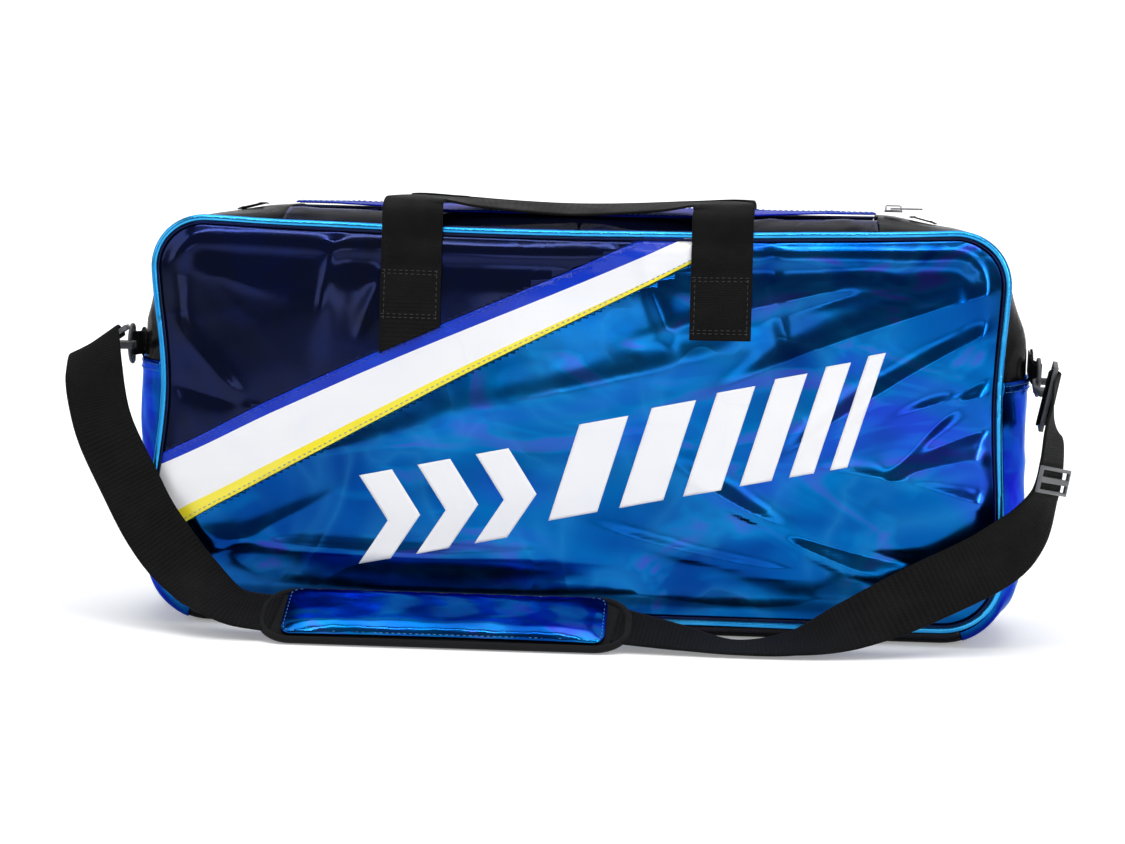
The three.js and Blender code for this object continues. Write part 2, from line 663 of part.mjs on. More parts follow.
function shoulderStrap() {
  const left = strapFitting("left", -1, 0, { stand: 26, roll: THREE.MathUtils.degToRad(35), flip: -1 });
  const right = strapFitting("right", 1, rightDroop, { stand: 12, roll: THREE.MathUtils.degToRad(81), flip: 1 });
  const front = -halfDepth;
  const padY = front - padFromPanel;
  const tilt = THREE.MathUtils.degToRad(padTilt);
  const padWide = [0, Math.cos(tilt), Math.sin(tilt)];
  const lift = padBaseWall / 2 + 0.5;
  const padEnd = (side) => [
    padMiddle + side * (padLength / 2 + 2 * strapGap),
    padY - lift * Math.sin(tilt),
    padLift + lift * Math.cos(tilt),
  ];
  const leftRoute = [
    left,
    { at: [-endX - 26, left.at[1] - strapLead, pivotHeight - 16], wide: [0.92, 0, 0.38] },
    { at: [-endX - 23, front, pivotHeight - 36], wide: [1, 0, 0.1] },
    { at: [-endX - 15, front - 3, pivotHeight - 66], wide: [1, 0, 0.1] },
    { at: [-halfLength - 16, front - 12, 119], wide: [0.95, 0.05, 0.3] },
    { at: [-halfLength + 7, front - 24, 83], wide: [0.8, 0.15, 0.58] },
    { at: [-halfLength + 40, front - 38, 48], wide: [0.5, 0.6, 0.6] },
    { at: [padMiddle - padLength / 2 - 28, padY + 1, 25], wide: [0.1, 0.9, 0.42] },
    { at: padEnd(-1), wide: padWide },
  ];
  const rightRoute = [
    { at: padEnd(1), wide: padWide },
    { at: [padMiddle + padLength / 2 + 38, padY - 3, 11], wide: [0, 0.96, 0.25] },
    { at: [padMiddle + padLength / 2 + 85, padY - 5, 4.5], wide: [0, 1, 0.05] },
    { at: [halfLength - 168, padY - 4, 9], wide: [-0.1, 0.97, 0.2] },
    { at: [halfLength - 125, padY, 23], wide: [-0.2, 0.75, 0.62] },
    { at: [halfLength - 58, front - 42, 53], wide: [-0.35, 0.25, 0.9] },
    { at: [halfLength - 6, front - 28, 79], wide: [-0.6, 0, 0.8] },
    { at: [halfLength + 18, front - 16, 99], wide: [-0.7, -0.5, 0.5] },
    { at: [endX + 9, front - 9, 128], wide: [-0.5, -0.84, 0.2] },
    { at: [endX + 14, front - 7, pivotHeight - 74], wide: [-0.45, -0.88, 0.15] },
    { at: [endX + 15, front - 2, pivotHeight - 44], wide: [-0.25, -0.6, 0.75] },
    { at: [endX + 14, right.at[1] - strapLead - 2.5, pivotHeight - 31], wide: [-0.02, -0.4, 0.9] },
    right,
  ];
  add("strap_webbing_left", webbing(leftRoute, webbingWidth, strapWall, 30), looks.webbing);
  add("strap_webbing_right", webbing(rightRoute, webbingWidth, strapWall, 44), looks.webbing);
  shoulderPad(padY, tilt);
  strapAdjuster(rightRoute[8], rightRoute[9]);
}

// A rounded slab in x and y, with an outline of half circles at the ends when round is set
function slab(length, width, wall, corner) {
  const [l, w] = [length / 2 - corner, width / 2 - corner];
  const plan = new THREE.Shape();
  plan.absarc(l, w, corner, 0, Math.PI / 2, false);
  plan.absarc(-l, w, corner, Math.PI / 2, Math.PI, false);
  plan.absarc(-l, -w, corner, Math.PI, 1.5 * Math.PI, false);
  plan.absarc(l, -w, corner, 1.5 * Math.PI, 2 * Math.PI, false);
  return new THREE.ExtrudeGeometry(plan, { depth: wall, bevelEnabled: false, curveSegments: 5 });
}

function shoulderPad(padY, tilt) {
  const pad = new THREE.Group();
  pad.position.set(padMiddle, padY, padLift);
  pad.rotation.x = tilt;
  bag.add(pad);
  add("pad_base", slab(padLength, padWidth, padBaseWall, 28), looks.webbing, pad);
  const cover = slab(padCoverLength, padCoverWidth, padCoverWall, 4);
  add("pad_cover", cover.translate(0, 0, padBaseWall + clearance), looks.blueSheet, pad);
}

// Three-bar slide lying on the strap's outer face, between two points of its route
function strapAdjuster(lower, upper) {
  const a = new THREE.Vector3(...lower.at);
  const b = new THREE.Vector3(...upper.at);
  const along = b.clone().sub(a).normalize();
  const across = new THREE.Vector3(...lower.wide).lerp(new THREE.Vector3(...upper.wide), 0.5);
  across.addScaledVector(along, -across.dot(along)).normalize();
  const out = along.clone().cross(across);
  const half = webbingWidth / 2 + adjusterRim + 1;
  const wall = adjusterWall;
  let plate = solidFrom(new THREE.BoxGeometry(adjusterLength, 2 * half, wall).translate(0, 0, wall / 2));
  for (const side of [-1, 1]) {
    const slot = new THREE.BoxGeometry(adjusterSlot, 2 * (half - adjusterRim), 3 * wall);
    plate = plate.subtract(solidFrom(slot.translate(side * adjusterSlotPlace, 0, 0)));
  }
  const slide = geometryFrom(plate);
  const mesh = add("strap_adjuster", slide, looks.plastic);
  const basis = new THREE.Matrix4().makeBasis(along, across, out);
  basis.setPosition(a.lerp(b, 0.5).addScaledVector(out, strapWall / 2 + strapGap));
  basis.decompose(mesh.position, mesh.quaternion, mesh.scale);
}

frontAndBackPanels();
linings();
pipings();
gusset();
mouth();
handles();
shoulderStrap();

export default bag;
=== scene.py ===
import json
import math

import bmesh
import bpy
from mathutils import Matrix, Vector, noise

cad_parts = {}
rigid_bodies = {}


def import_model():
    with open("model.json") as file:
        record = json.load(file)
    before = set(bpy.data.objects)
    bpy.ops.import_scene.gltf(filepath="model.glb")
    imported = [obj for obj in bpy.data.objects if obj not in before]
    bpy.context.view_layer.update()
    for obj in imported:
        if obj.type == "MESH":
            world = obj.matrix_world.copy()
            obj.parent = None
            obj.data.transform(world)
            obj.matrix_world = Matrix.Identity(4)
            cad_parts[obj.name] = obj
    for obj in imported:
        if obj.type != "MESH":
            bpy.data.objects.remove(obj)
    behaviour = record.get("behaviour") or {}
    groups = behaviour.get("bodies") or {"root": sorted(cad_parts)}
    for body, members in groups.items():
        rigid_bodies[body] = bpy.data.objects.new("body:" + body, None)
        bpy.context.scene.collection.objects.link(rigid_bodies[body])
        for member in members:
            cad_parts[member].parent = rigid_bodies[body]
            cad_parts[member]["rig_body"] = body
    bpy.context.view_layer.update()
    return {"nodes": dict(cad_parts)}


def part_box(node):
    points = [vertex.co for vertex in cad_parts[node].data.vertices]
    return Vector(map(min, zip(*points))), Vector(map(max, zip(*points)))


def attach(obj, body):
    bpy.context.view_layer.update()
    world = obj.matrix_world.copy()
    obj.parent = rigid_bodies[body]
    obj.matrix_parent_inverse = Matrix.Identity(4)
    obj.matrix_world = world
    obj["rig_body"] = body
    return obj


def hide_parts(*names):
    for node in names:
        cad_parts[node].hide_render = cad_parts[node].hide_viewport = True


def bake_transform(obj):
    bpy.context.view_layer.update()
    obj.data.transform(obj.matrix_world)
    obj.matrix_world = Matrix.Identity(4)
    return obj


# A racket tournament bag in glossy sheet, with webbing handles and a shoulder strap.
# Metres, +X right, +Y to the back, +Z up, the base standing on z = 0.

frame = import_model()
print("frame loaded")

pipingLow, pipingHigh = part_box("front_piping")
flapLow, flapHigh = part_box("front_flap")
bag = {
    "pipingRadius": 0.003,
    "cornerRadius": 0.046,
    "halfDepth": -(pipingLow.y + pipingHigh.y) / 2,
    "face": -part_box("front_panel_blue")[0].y,  # outside of the front panel
    "crease": -flapLow.y,  # where the mouth's flaps fold
    "mouthHalf": flapHigh.x,
    "seamHeight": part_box("right_end_lower")[1].z,  # top of the lower end panels
    "crownRise": 0.012,
    "baseDrop": 0.014,
    "endBulge": 0.024,
    "flatShare": 0.8,  # share of the depth over which the bottom is flat
    "sheetWall": 0.0014,
}
bag["halfLength"] = pipingHigh.x - bag["pipingRadius"]
bag["topZ"] = pipingHigh.z - bag["pipingRadius"]
bag["baseZ"] = pipingLow.z + bag["pipingRadius"]
bag["middleZ"] = (bag["topZ"] + bag["baseZ"]) / 2
bag["halfHeight"] = (bag["topZ"] - bag["baseZ"]) / 2
bag["edge"] = bag["halfDepth"] - bag["pipingRadius"] - 0.0003  # gusset's edge beside the piping

straightLength = 2 * (bag["halfLength"] - bag["cornerRadius"])
straightHeight = 2 * (bag["halfHeight"] - bag["cornerRadius"])
cornerArc = math.pi / 2 * bag["cornerRadius"]
outlineTotal = 2 * (straightLength + straightHeight) + 4 * cornerArc


def mix(a, b, share):
    return a + (b - a) * share


def smooth(value, low, high):
    t = min(1, max(0, (value - low) / (high - low)))
    return t * t * (3 - 2 * t)


def bell(value, middle, width):
    return math.exp(-(((value - middle) / width) ** 2))


# the bag's outline and how it sags

slump = {
    "topSag": 0.0085,  # the upper pipings dip in the middle
    "zipSag": 0.0015,
    "sagFrom": 0.2,  # the height where the sag starts
    "leftPinch": 0.011,  # the left edge is drawn in at mid height
    "rightPinch": 0.006,
    "pinchHeight": 0.2,
    "pinchSpread": 0.075,
    "footFlare": 0.006,  # and stands out at the lower left
    "footHeight": 0.05,
    "footSpread": 0.05,
    "cornerDraw": 0.8,  # share of the gusset's bulge lost at the upper corners
    "drawHeights": (0.232, 0.312),  # none of it below the first, all of it above the second
    "drawFull": 0.325,  # all of it this far out from the middle
    "rearDrop": 0.004,  # the rear's upper corners hang lower than the front's
}


def outlineAt(distance):  # point and outward normal, clockwise from the left end of the top
    s = distance % outlineTotal
    hx = bag["halfLength"] - bag["cornerRadius"]
    hz = bag["halfHeight"] - bag["cornerRadius"]
    r = bag["cornerRadius"]
    sides = [
        (straightLength, (-hx, hz + r), (1, 0), (hx, hz)),
        (straightHeight, (hx + r, hz), (0, -1), (hx, -hz)),
        (straightLength, (hx, -hz - r), (-1, 0), (-hx, -hz)),
        (straightHeight, (-hx - r, -hz), (0, 1), (-hx, hz)),
    ]
    for run, start, way, corner in sides:
        nx, nz = -way[1], way[0]
        if s <= run:
            return start[0] + way[0] * s, start[1] + way[1] * s + bag["middleZ"], nx, nz
        s -= run
        if s <= cornerArc:
            turn = s / r
            cx = nx * math.cos(turn) + way[0] * math.sin(turn)
            cz = nz * math.cos(turn) + way[1] * math.sin(turn)
            return corner[0] + cx * r, corner[1] + cz * r + bag["middleZ"], cx, cz
        s -= cornerArc
    return outlineAt(0)


def alongTop(x):
    return x + bag["halfLength"] - bag["cornerRadius"]


def downRight(z):
    return straightLength + cornerArc + (bag["topZ"] - bag["cornerRadius"] - z)


def upLeft(z):
    return outlineTotal - cornerArc - (bag["topZ"] - bag["cornerRadius"] - z)


lowerRight = straightLength + straightHeight + 1.8 * cornerArc
lowerLeft = 2 * straightLength + straightHeight + 2.2 * cornerArc


def bulgeAt(nx, nz, y):  # how far the gusset stands out from the outline at a depth
    t = min(1, abs(y) / bag["halfDepth"])
    rise = bag["crownRise"] if nz > 0 else bag["baseDrop"]
    reach = bag["endBulge"] * nx * nx + rise * nz * nz
    down = nz * nz if nz < 0 else 0
    flat = 1 - (max(0, t - bag["flatShare"]) / (1 - bag["flatShare"])) ** 2
    return reach * (down * flat + (1 - down) * (1 - t * t))


def settled(x, y, z):  # the empty bag's own sag, the same for every sewn piece
    calm = smooth(z, *slump["drawHeights"]) * smooth(abs(x), bag["mouthHalf"], slump["drawFull"])
    reachX = max(0, abs(x) - bag["halfLength"] + bag["cornerRadius"])
    reachZ = max(0, z - bag["topZ"] + bag["cornerRadius"])
    reach = math.hypot(reachX, reachZ)
    if calm and reach > bag["cornerRadius"]:
        lost = slump["cornerDraw"] * calm * (1 - bag["cornerRadius"] / reach)
        x -= math.copysign(reachX * lost, x)
        z -= reachZ * lost
    z -= slump["rearDrop"] * calm * smooth(y, -bag["halfDepth"], bag["halfDepth"])
    along = min(1, abs(x) / bag["halfLength"])
    deep = min(1, abs(y) / bag["halfDepth"])
    sag = mix(slump["zipSag"], slump["topSag"], deep * deep) * (1 - along * along)
    atEnd = smooth(along, 0.7, 1) * deep * deep
    pinch = slump["leftPinch"] if x < 0 else slump["rightPinch"]
    inward = pinch * bell(z, slump["pinchHeight"], slump["pinchSpread"])
    if x < 0:
        inward -= slump["footFlare"] * bell(z, slump["footHeight"], slump["footSpread"])
    sag *= smooth(z, slump["sagFrom"], bag["topZ"])
    return Vector((x - math.copysign(inward * atEnd, x), y, z - sag))


# mesh tools


def makePiece(name, bm, finishes, body=None, hides=(), slot=None):
    mesh = bpy.data.meshes.new(name)
    bm.to_mesh(mesh)
    bm.free()
    mesh.shade_smooth()
    piece = bpy.data.objects.new(name, mesh)
    bpy.context.scene.collection.objects.link(piece)
    for finish in finishes if isinstance(finishes, (list, tuple)) else [finishes]:
        mesh.materials.append(finish)
    if body:
        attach(piece, body)
    if hides:
        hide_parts(*hides)
    return piece


def joinInto(whole, bm):
    part = bpy.data.meshes.new("part")
    bm.to_mesh(part)
    bm.free()
    whole.from_mesh(part)
    bpy.data.meshes.remove(part)


def gridForm(across, along, place, sizeU=1.0, sizeV=1.0):
    # a grid whose corners go where place(u, v) says, with its own flat size as the UV map
    bm = bmesh.new()
    bmesh.ops.create_grid(bm, x_segments=across, y_segments=along, size=0.5)
    uvLayer = bm.loops.layers.uv.new("flat")
    for face in bm.faces:
        for loop in face.loops:
            co = loop.vert.co
            loop[uvLayer].uv = ((co.x + 0.5) * sizeU, (co.y + 0.5) * sizeV)
    for vert in bm.verts:
        vert.co = place(vert.co.x + 0.5, vert.co.y + 0.5)
    return bm


def thicken(bm, wall, outward):
    # gives a sheet its wall, away from the side that faces outward(centre)
    bmesh.ops.recalc_face_normals(bm, faces=bm.faces[:])
    bm.faces.ensure_lookup_table()
    middle = bm.faces[len(bm.faces) // 2]
    if middle.normal.dot(outward(middle.calc_center_median())) < 0:
        bmesh.ops.reverse_faces(bm, faces=bm.faces[:])
    bm.normal_update()
    bmesh.ops.solidify(bm, geom=bm.faces[:], thickness=wall)
    if bm.calc_volume(signed=True) < 0:
        bmesh.ops.reverse_faces(bm, faces=bm.faces[:])


def tubeForm(points, radius, sides=12, closed=False):
    # a round tube along points: a grid rolled up, with its seam merged
    count = len(points)
    frames = []
    side = None
    for i, point in enumerate(points):
        before = points[i - 1] if closed or i else point
        after = points[(i + 1) % count] if closed or i < count - 1 else point
        tangent = (after - before).normalized()
        side = tangent.orthogonal() if side is None else side
        side = (side - tangent * side.dot(tangent)).normalized()
        frames.append((point, side, tangent.cross(side)))
    if closed:
        frames.append(frames[0])
    length = sum((b[0] - a[0]).length for a, b in zip(frames, frames[1:]))

    def place(u, v):
        point, one, two = frames[round(v * (len(frames) - 1))]
        r = radius(v) if callable(radius) else radius
        return point + one * r * math.cos(2 * math.pi * u) + two * r * math.sin(2 * math.pi * u)

    wide = radius(0.5) if callable(radius) else radius
    bm = gridForm(sides, len(frames) - 1, place, 2 * math.pi * wide, length)
    bmesh.ops.remove_doubles(bm, verts=bm.verts[:], dist=1e-7)
    if not closed:
        bmesh.ops.holes_fill(bm, edges=bm.edges[:], sides=0)
    bmesh.ops.recalc_face_normals(bm, faces=bm.faces[:])
    return bm


def curveAt(points, share):
    # a smooth curve through points, centripetal so that it doesn't loop at close ones
    last = len(points) - 1
    place = min(max(share, 0), 1) * last
    i = min(int(place), last - 1)
    t = place - i
    b, c = points[i], points[i + 1]
    a = points[i - 1] if i > 0 else b * 2 - c
    d = points[i + 2] if i < last - 1 else c * 2 - b
    gaps = [max((q - p).length, 1e-9) ** 0.5 for p, q in ((a, b), (b, c), (c, d))]
    one = (b - a) / gaps[0] - (c - a) / (gaps[0] + gaps[1]) + (c - b) / gaps[1]
    two = (c - b) / gaps[1] - (d - b) / (gaps[1] + gaps[2]) + (d - c) / gaps[2]
    one, two = one * gaps[1], two * gaps[1]
    t2, t3 = t * t, t * t * t
    return b * (2 * t3 - 3 * t2 + 1) + one * (t3 - 2 * t2 + t) + c * (3 * t2 - 2 * t3) + two * (t3 - t2)


def ribbonForm(route, width, wall, steps):
    # flat webbing with rounded edges: route holds (point, direction of its width) pairs
    spots = [Vector(p) for p, _ in route]
    wides = [Vector(w).normalized() for _, w in route]
    rows = []
    for i in range(steps + 1):
        share = i / steps
        point = curveAt(spots, share)
        tangent = (curveAt(spots, share + 0.002) - curveAt(spots, share - 0.002)).normalized()
        across = curveAt(wides, share)
        across = (across - tangent * across.dot(tangent)).normalized()
        rows.append((point, across, tangent.cross(across)))
    length = sum((b[0] - a[0]).length for a, b in zip(rows, rows[1:]))
    flat, turn = 12, 4  # spans across each face, and round each edge
    r = wall / 2
    profile = []  # (across, through, distance along the face for the UV)
    for side in (1, -1):
        for k in range(flat):
            profile.append((side * mix(-width / 2 + r, width / 2 - r, k / flat), side * r))
        for k in range(turn):
            a = math.pi / 2 - math.pi * k / turn
            profile.append((side * (width / 2 - r + r * math.cos(a)), side * r * math.sin(a)))
    profile.append(profile[0])

    def place(u, v):
        point, across, through = rows[round(v * steps)]
        a, t = profile[round(u * (len(profile) - 1))]
        return point + across * a + through * t

    bm = gridForm(len(profile) - 1, steps, place)
    uvLayer = bm.loops.layers.uv["flat"]
    for face in bm.faces:  # UV in metres, across the width and along the length
        for loop in face.loops:
            u, v = loop[uvLayer].uv
            k = round(u * (len(profile) - 1))
            loop[uvLayer].uv = (profile[k][0] + width / 2, v * length)
    bmesh.ops.remove_doubles(bm, verts=bm.verts[:], dist=1e-7)
    bmesh.ops.holes_fill(bm, edges=bm.edges[:], sides=0)
    bmesh.ops.recalc_face_normals(bm, faces=bm.faces[:])
    return bm


def stitchForm(points, normals, length=0.0032, gap=0.0016, radius=0.00035):
    # a row of separate stitches, each a low six-sided bead, along points on a surface
    bm = bmesh.new()
    spare = 0.0  # from a span's start to its first stitch
    for (p, n), (q, m) in zip(zip(points, normals), zip(points[1:], normals[1:])):
        span = (q - p).length
        while spare < span:
            along = (q - p).normalized()
            up = n.lerp(m, spare / span)
            up = (up - along * up.dot(along)).normalized()
            turn = Matrix((along, up.cross(along), up)).transposed().to_4x4()
            turn.translation = p.lerp(q, spare / span) + up * radius * 0.4
            size = Matrix.Diagonal((length / 2, radius, radius, 1))
            bmesh.ops.create_icosphere(bm, subdivisions=1, radius=1, matrix=turn @ size)
            spare += length + gap
        spare -= span
    return bm


print("tools ready")

# finishes


class Shader:  # a material or a group with short ways to add and join its nodes
    def __init__(self, tree):
        self.tree = tree

    def add(self, kind, values=(), **settings):
        made = self.tree.nodes.new("ShaderNode" + kind)
        for name, value in settings.items():
            setattr(made, name, value)
        for name, value in dict(values).items():
            self.feed(made.inputs[name], value)
        return made

    def feed(self, socket, value):  # from another node's socket, or a plain value
        if isinstance(value, bpy.types.NodeSocket):
            self.tree.links.new(value, socket)
        elif socket.type == "RGBA" and len(value) == 3:
            socket.default_value = (*value, 1)
        else:
            socket.default_value = value

    def math(self, operation, a, b=0.0, clamp=False):
        made = self.add("Math", {0: a, 1: b}, operation=operation, use_clamp=clamp)
        return made.outputs[0]

    def noise(self, vector, scale, detail=2.0, distortion=0.0, roughness=0.5):
        values = {"Vector": vector, "Scale": scale, "Detail": detail, "Distortion": distortion,
                  "Roughness": roughness}
        return self.add("TexNoise", values).outputs["Fac"]

    def ramp(self, factor, stops):
        made = self.add("ValToRGB", {"Fac": factor})
        ramp = made.color_ramp
        while len(ramp.elements) < len(stops):
            ramp.elements.new(1.0)
        for element, (place, color) in zip(ramp.elements, stops):
            element.position = place
            element.color = color if len(color) == 4 else (*color, 1)
        return made.outputs["Color"]

    def span(self, value, low, high, toLow=0.0, toHigh=1.0):
        values = {"Value": value, 1: low, 2: high, 3: toLow, 4: toHigh}
        return self.add("MapRange", values).outputs[0]

    def blendColor(self, factor, a, b, how="MIX"):
        made = self.tree.nodes.new("ShaderNodeMix")
        made.data_type = "RGBA"
        made.blend_type = how
        for place, value in ((0, factor), (6, a), (7, b)):
            self.feed(made.inputs[place], value)
        return made.outputs[2]

    def bump(self, height, strength, distance):
        values = {"Height": height, "Strength": strength, "Distance": distance}
        return self.add("Bump", values).outputs["Normal"]


def newGroup(name, inputs, outputs):
    tree = bpy.data.node_groups.new(name, "ShaderNodeTree")
    for label, kind, value in inputs:
        socket = tree.interface.new_socket(label, in_out="INPUT", socket_type="NodeSocket" + kind)
        if value is not None:
            socket.default_value = value
    for label, kind in outputs:
        tree.interface.new_socket(label, in_out="OUTPUT", socket_type="NodeSocket" + kind)
    shader = Shader(tree)
    return shader, tree.nodes.new("NodeGroupInput"), tree.nodes.new("NodeGroupOutput")


def useGroup(shader, tree, values):
    made = shader.tree.nodes.new("ShaderNodeGroup")
    made.node_tree = tree
    for name, value in values.items():
        shader.feed(made.inputs[name], value)
    return made.outputs


def newFinish(name, settings):
    # a Principled material whose plain numbers are set on its own sockets
    finish = bpy.data.materials.new(name)
    finish.use_nodes = True
    shader = Shader(finish.node_tree)
    body = finish.node_tree.nodes["Principled BSDF"]
    for label, value in settings.items():
        shader.feed(body.inputs[label], value)
    finish.diffuse_color = (*settings.get("Base Color", (0.5, 0.5, 0.5))[:3], 1)
    return finish, shader, body


def creaseGroup():
    # soft creases and fine crumple of a coated sheet: a height and a mask of the crease tops, which the
    # sheets use to paint light along the crests
    inputs = [("Vector", "Vector", None), ("Creases", "Float", 9.0), ("Crumple", "Float", 60.0)]
    shader, given, result = newGroup("sheetCreases", inputs, [("Height", "Float"), ("Tops", "Float")])
    link = shader.tree.links.new
    broad = shader.noise(given.outputs[0], given.outputs[1], 2.0, 0.9)
    ridge = shader.math("ABSOLUTE", shader.math("SUBTRACT", broad, 0.5))
    ridge = shader.math("SUBTRACT", 1.0, shader.math("MULTIPLY", ridge, 7.0), clamp=True)
    ridge = shader.math("POWER", ridge, 2.0)
    fine = shader.noise(given.outputs[0], given.outputs[2], 3.0)
    height = shader.math("ADD", shader.math("MULTIPLY", ridge, 0.6), shader.math("MULTIPLY", fine, 0.12))
    height = shader.math("ADD", height, shader.math("MULTIPLY", broad, 0.8))
    link(height, result.inputs[0])
    link(ridge, result.inputs[1])
    return shader.tree


def weaveGroup():
    # plain weave on a flat UV in metres: a height and a mask of the gaps between threads
    inputs = [("Vector", "Vector", None), ("Across", "Float", 900.0), ("Along", "Float", 700.0)]
    shader, given, result = newGroup("clothWeave", inputs, [("Height", "Float"), ("Gaps", "Float")])
    link = shader.tree.links.new
    parts = shader.add("SeparateXYZ", {0: given.outputs[0]})
    x = shader.math("MULTIPLY", parts.outputs[0], given.outputs[1])
    y = shader.math("MULTIPLY", parts.outputs[1], given.outputs[2])
    over = shader.math("ABSOLUTE", shader.math("SINE", x))
    under = shader.math("ABSOLUTE", shader.math("SINE", y))
    shifted = shader.math("MULTIPLY", shader.math("SINE", x), shader.math("SINE", y))
    height = shader.math("ADD", shader.math("MULTIPLY", over, 0.5), shader.math("MULTIPLY", under, 0.5))
    height = shader.math("ADD", height, shader.math("MULTIPLY", shifted, 0.35))
    gaps = shader.math("SUBTRACT", 1.0, shader.math("MULTIPLY", over, under))
    link(height, result.inputs[0])
    link(gaps, result.inputs[1])
    return shader.tree


def ribGroup():
    # webbing: fine ribs across the width with a herringbone shift, and two denser edges; the Shade output is
    # painted shade, lighter on the rib crests than in the grooves, and halved near the two edges
    inputs = [("Vector", "Vector", None), ("Width", "Float", 0.05), ("Pitch", "Float", 0.0021)]
    shader, given, result = newGroup("webbingRibs", inputs, [("Height", "Float"), ("Shade", "Float")])
    link = shader.tree.links.new
    parts = shader.add("SeparateXYZ", {0: given.outputs[0]})
    across, along = parts.outputs[0], parts.outputs[1]
    cords = shader.math("PINGPONG", across, 0.0016)
    cords = shader.math("DIVIDE", cords, 0.0016)
    slant = shader.math("MULTIPLY", cords, 0.0006)
    phase = shader.math("DIVIDE", shader.math("ADD", along, slant), given.outputs[2])
    ribs = shader.math("SINE", shader.math("MULTIPLY", phase, 2 * math.pi))
    ribs = shader.math("ADD", shader.math("MULTIPLY", ribs, 0.5), 0.5)
    fromEdge = shader.math("MINIMUM", across, shader.math("SUBTRACT", given.outputs[1], across))
    edge = shader.span(fromEdge, 0.0016, 0.0024)
    height = shader.math("ADD", shader.math("MULTIPLY", ribs, 0.7), shader.math("MULTIPLY", cords, 0.3))
    height = shader.math("MULTIPLY", height, edge)
    shade = shader.math("MULTIPLY", ribs, shader.math("ADD", shader.math("MULTIPLY", edge, 0.5), 0.5))
    link(height, result.inputs[0])
    link(shade, result.inputs[1])
    return shader.tree


def grainGroup():
    # moulded or embossed grain, with a mask of scuffs
    inputs = [("Vector", "Vector", None), ("Size", "Float", 900.0), ("Scuffs", "Float", 14.0)]
    shader, given, result = newGroup("surfaceGrain", inputs, [("Height", "Float"), ("Scuffed", "Float")])
    link = shader.tree.links.new
    cells = shader.add("TexVoronoi", {"Vector": given.outputs[0], "Scale": given.outputs[1]})
    scuffs = shader.noise(given.outputs[0], given.outputs[2], 5.0, 0.4, 0.65)
    link(cells.outputs["Distance"], result.inputs[0])
    link(shader.span(scuffs, 0.52, 0.74), result.inputs[1])
    return shader.tree


creases, weave, ribs, grain = creaseGroup(), weaveGroup(), ribGroup(), grainGroup()


def objectPlace(shader):
    return shader.add("TexCoord").outputs["Object"]


def flatPlace(shader):
    return shader.add("UVMap", uv_map="flat").outputs["UV"]


blueTones = [(0.30, (0.0, 0.026, 0.20)), (0.45, (0.0, 0.062, 0.29)),
             (0.56, (0.0, 0.105, 0.37)), (0.7, (0.010, 0.05, 0.48))]
pearlTones = [(0.50, (0.0, 0.0, 0.0)), (0.58, (0.0, 0.07, 0.12)), (0.66, (0.045, 0.0, 0.20))]


def metallicSheet(name, tones, settings):
    # mirror-like coated sheet whose colour drifts through the tones, as a pearl film does, with a painted
    # cyan highlight along the crease tops
    look = {"Metallic": 1.0, "Roughness": 0.17, "Coat Weight": 0.04, "Coat Roughness": 0.05,
            "Specular Tint": (0.02, 0.26, 0.85)}
    look.update(settings)
    finish, shader, body = newFinish(name, look)
    place = objectPlace(shader)
    slant = shader.add("Mapping", {"Vector": place, "Rotation": (0, 0.6, 0), "Scale": (1, 1, 2.2)}).outputs[0]
    drift = shader.noise(slant, 3.4, 2.0, 1.2)
    color = shader.ramp(drift, tones)
    sheen = shader.noise(slant, 7.0, 2.0, 2.4)
    pearl = shader.ramp(sheen, pearlTones)
    color = shader.blendColor(0.5, color, pearl, "ADD")
    crease = useGroup(shader, creases, {"Vector": place})
    # painted highlight: the crease tops are tinted towards a light cyan
    color = shader.blendColor(shader.math("MULTIPLY", crease[1], 0.12), color, (0.04, 0.40, 0.75, 1))
    shader.feed(body.inputs["Base Color"], color)
    rough = shader.noise(place, 30.0, 3.0)
    rough = shader.span(rough, 0.3, 0.7, look["Roughness"] - 0.05, look["Roughness"] + 0.06)
    shader.feed(body.inputs["Roughness"], rough)
    shader.feed(body.inputs["Normal"], shader.bump(crease[0], 0.07, 0.004))
    return finish


def glossSheet(name, color, driftAndCrestLightColor, settings=None, relief=0.25):
    # plain glossy coated sheet with fine grain, creases and faint scuffs; its colour drifts at random towards
    # the second colour, which the crease tops also take as painted light (lighter on the dark sheets, deeper
    # on the prints)
    look = {"Base Color": color, "Roughness": 0.22, "Coat Weight": 0.4, "Coat Roughness": 0.08}
    look.update(settings or {})
    finish, shader, body = newFinish(name, look)
    place = objectPlace(shader)
    crease = useGroup(shader, creases, {"Vector": place, "Creases": 12.0})
    fine = useGroup(shader, grain, {"Vector": place, "Size": 1500.0})
    drift = shader.noise(place, 7.0, 3.0, 1.0)
    # painted light on the crease tops: they are blended towards the second colour on top of the random drift
    paintedCrestLight = shader.math("MULTIPLY", crease[1], 0.3)
    mask = shader.math("ADD", shader.span(drift, 0.4, 0.75, 0, 0.6), paintedCrestLight, clamp=True)
    shader.feed(body.inputs["Base Color"], shader.blendColor(mask, color, driftAndCrestLightColor))
    rough = shader.math("MULTIPLY", fine[1], 0.12)
    shader.feed(body.inputs["Roughness"], shader.math("ADD", rough, look["Roughness"]))
    height = shader.math("ADD", crease[0], shader.math("MULTIPLY", fine[0], 0.04))
    shader.feed(body.inputs["Normal"], shader.bump(height, relief, 0.003))
    return finish


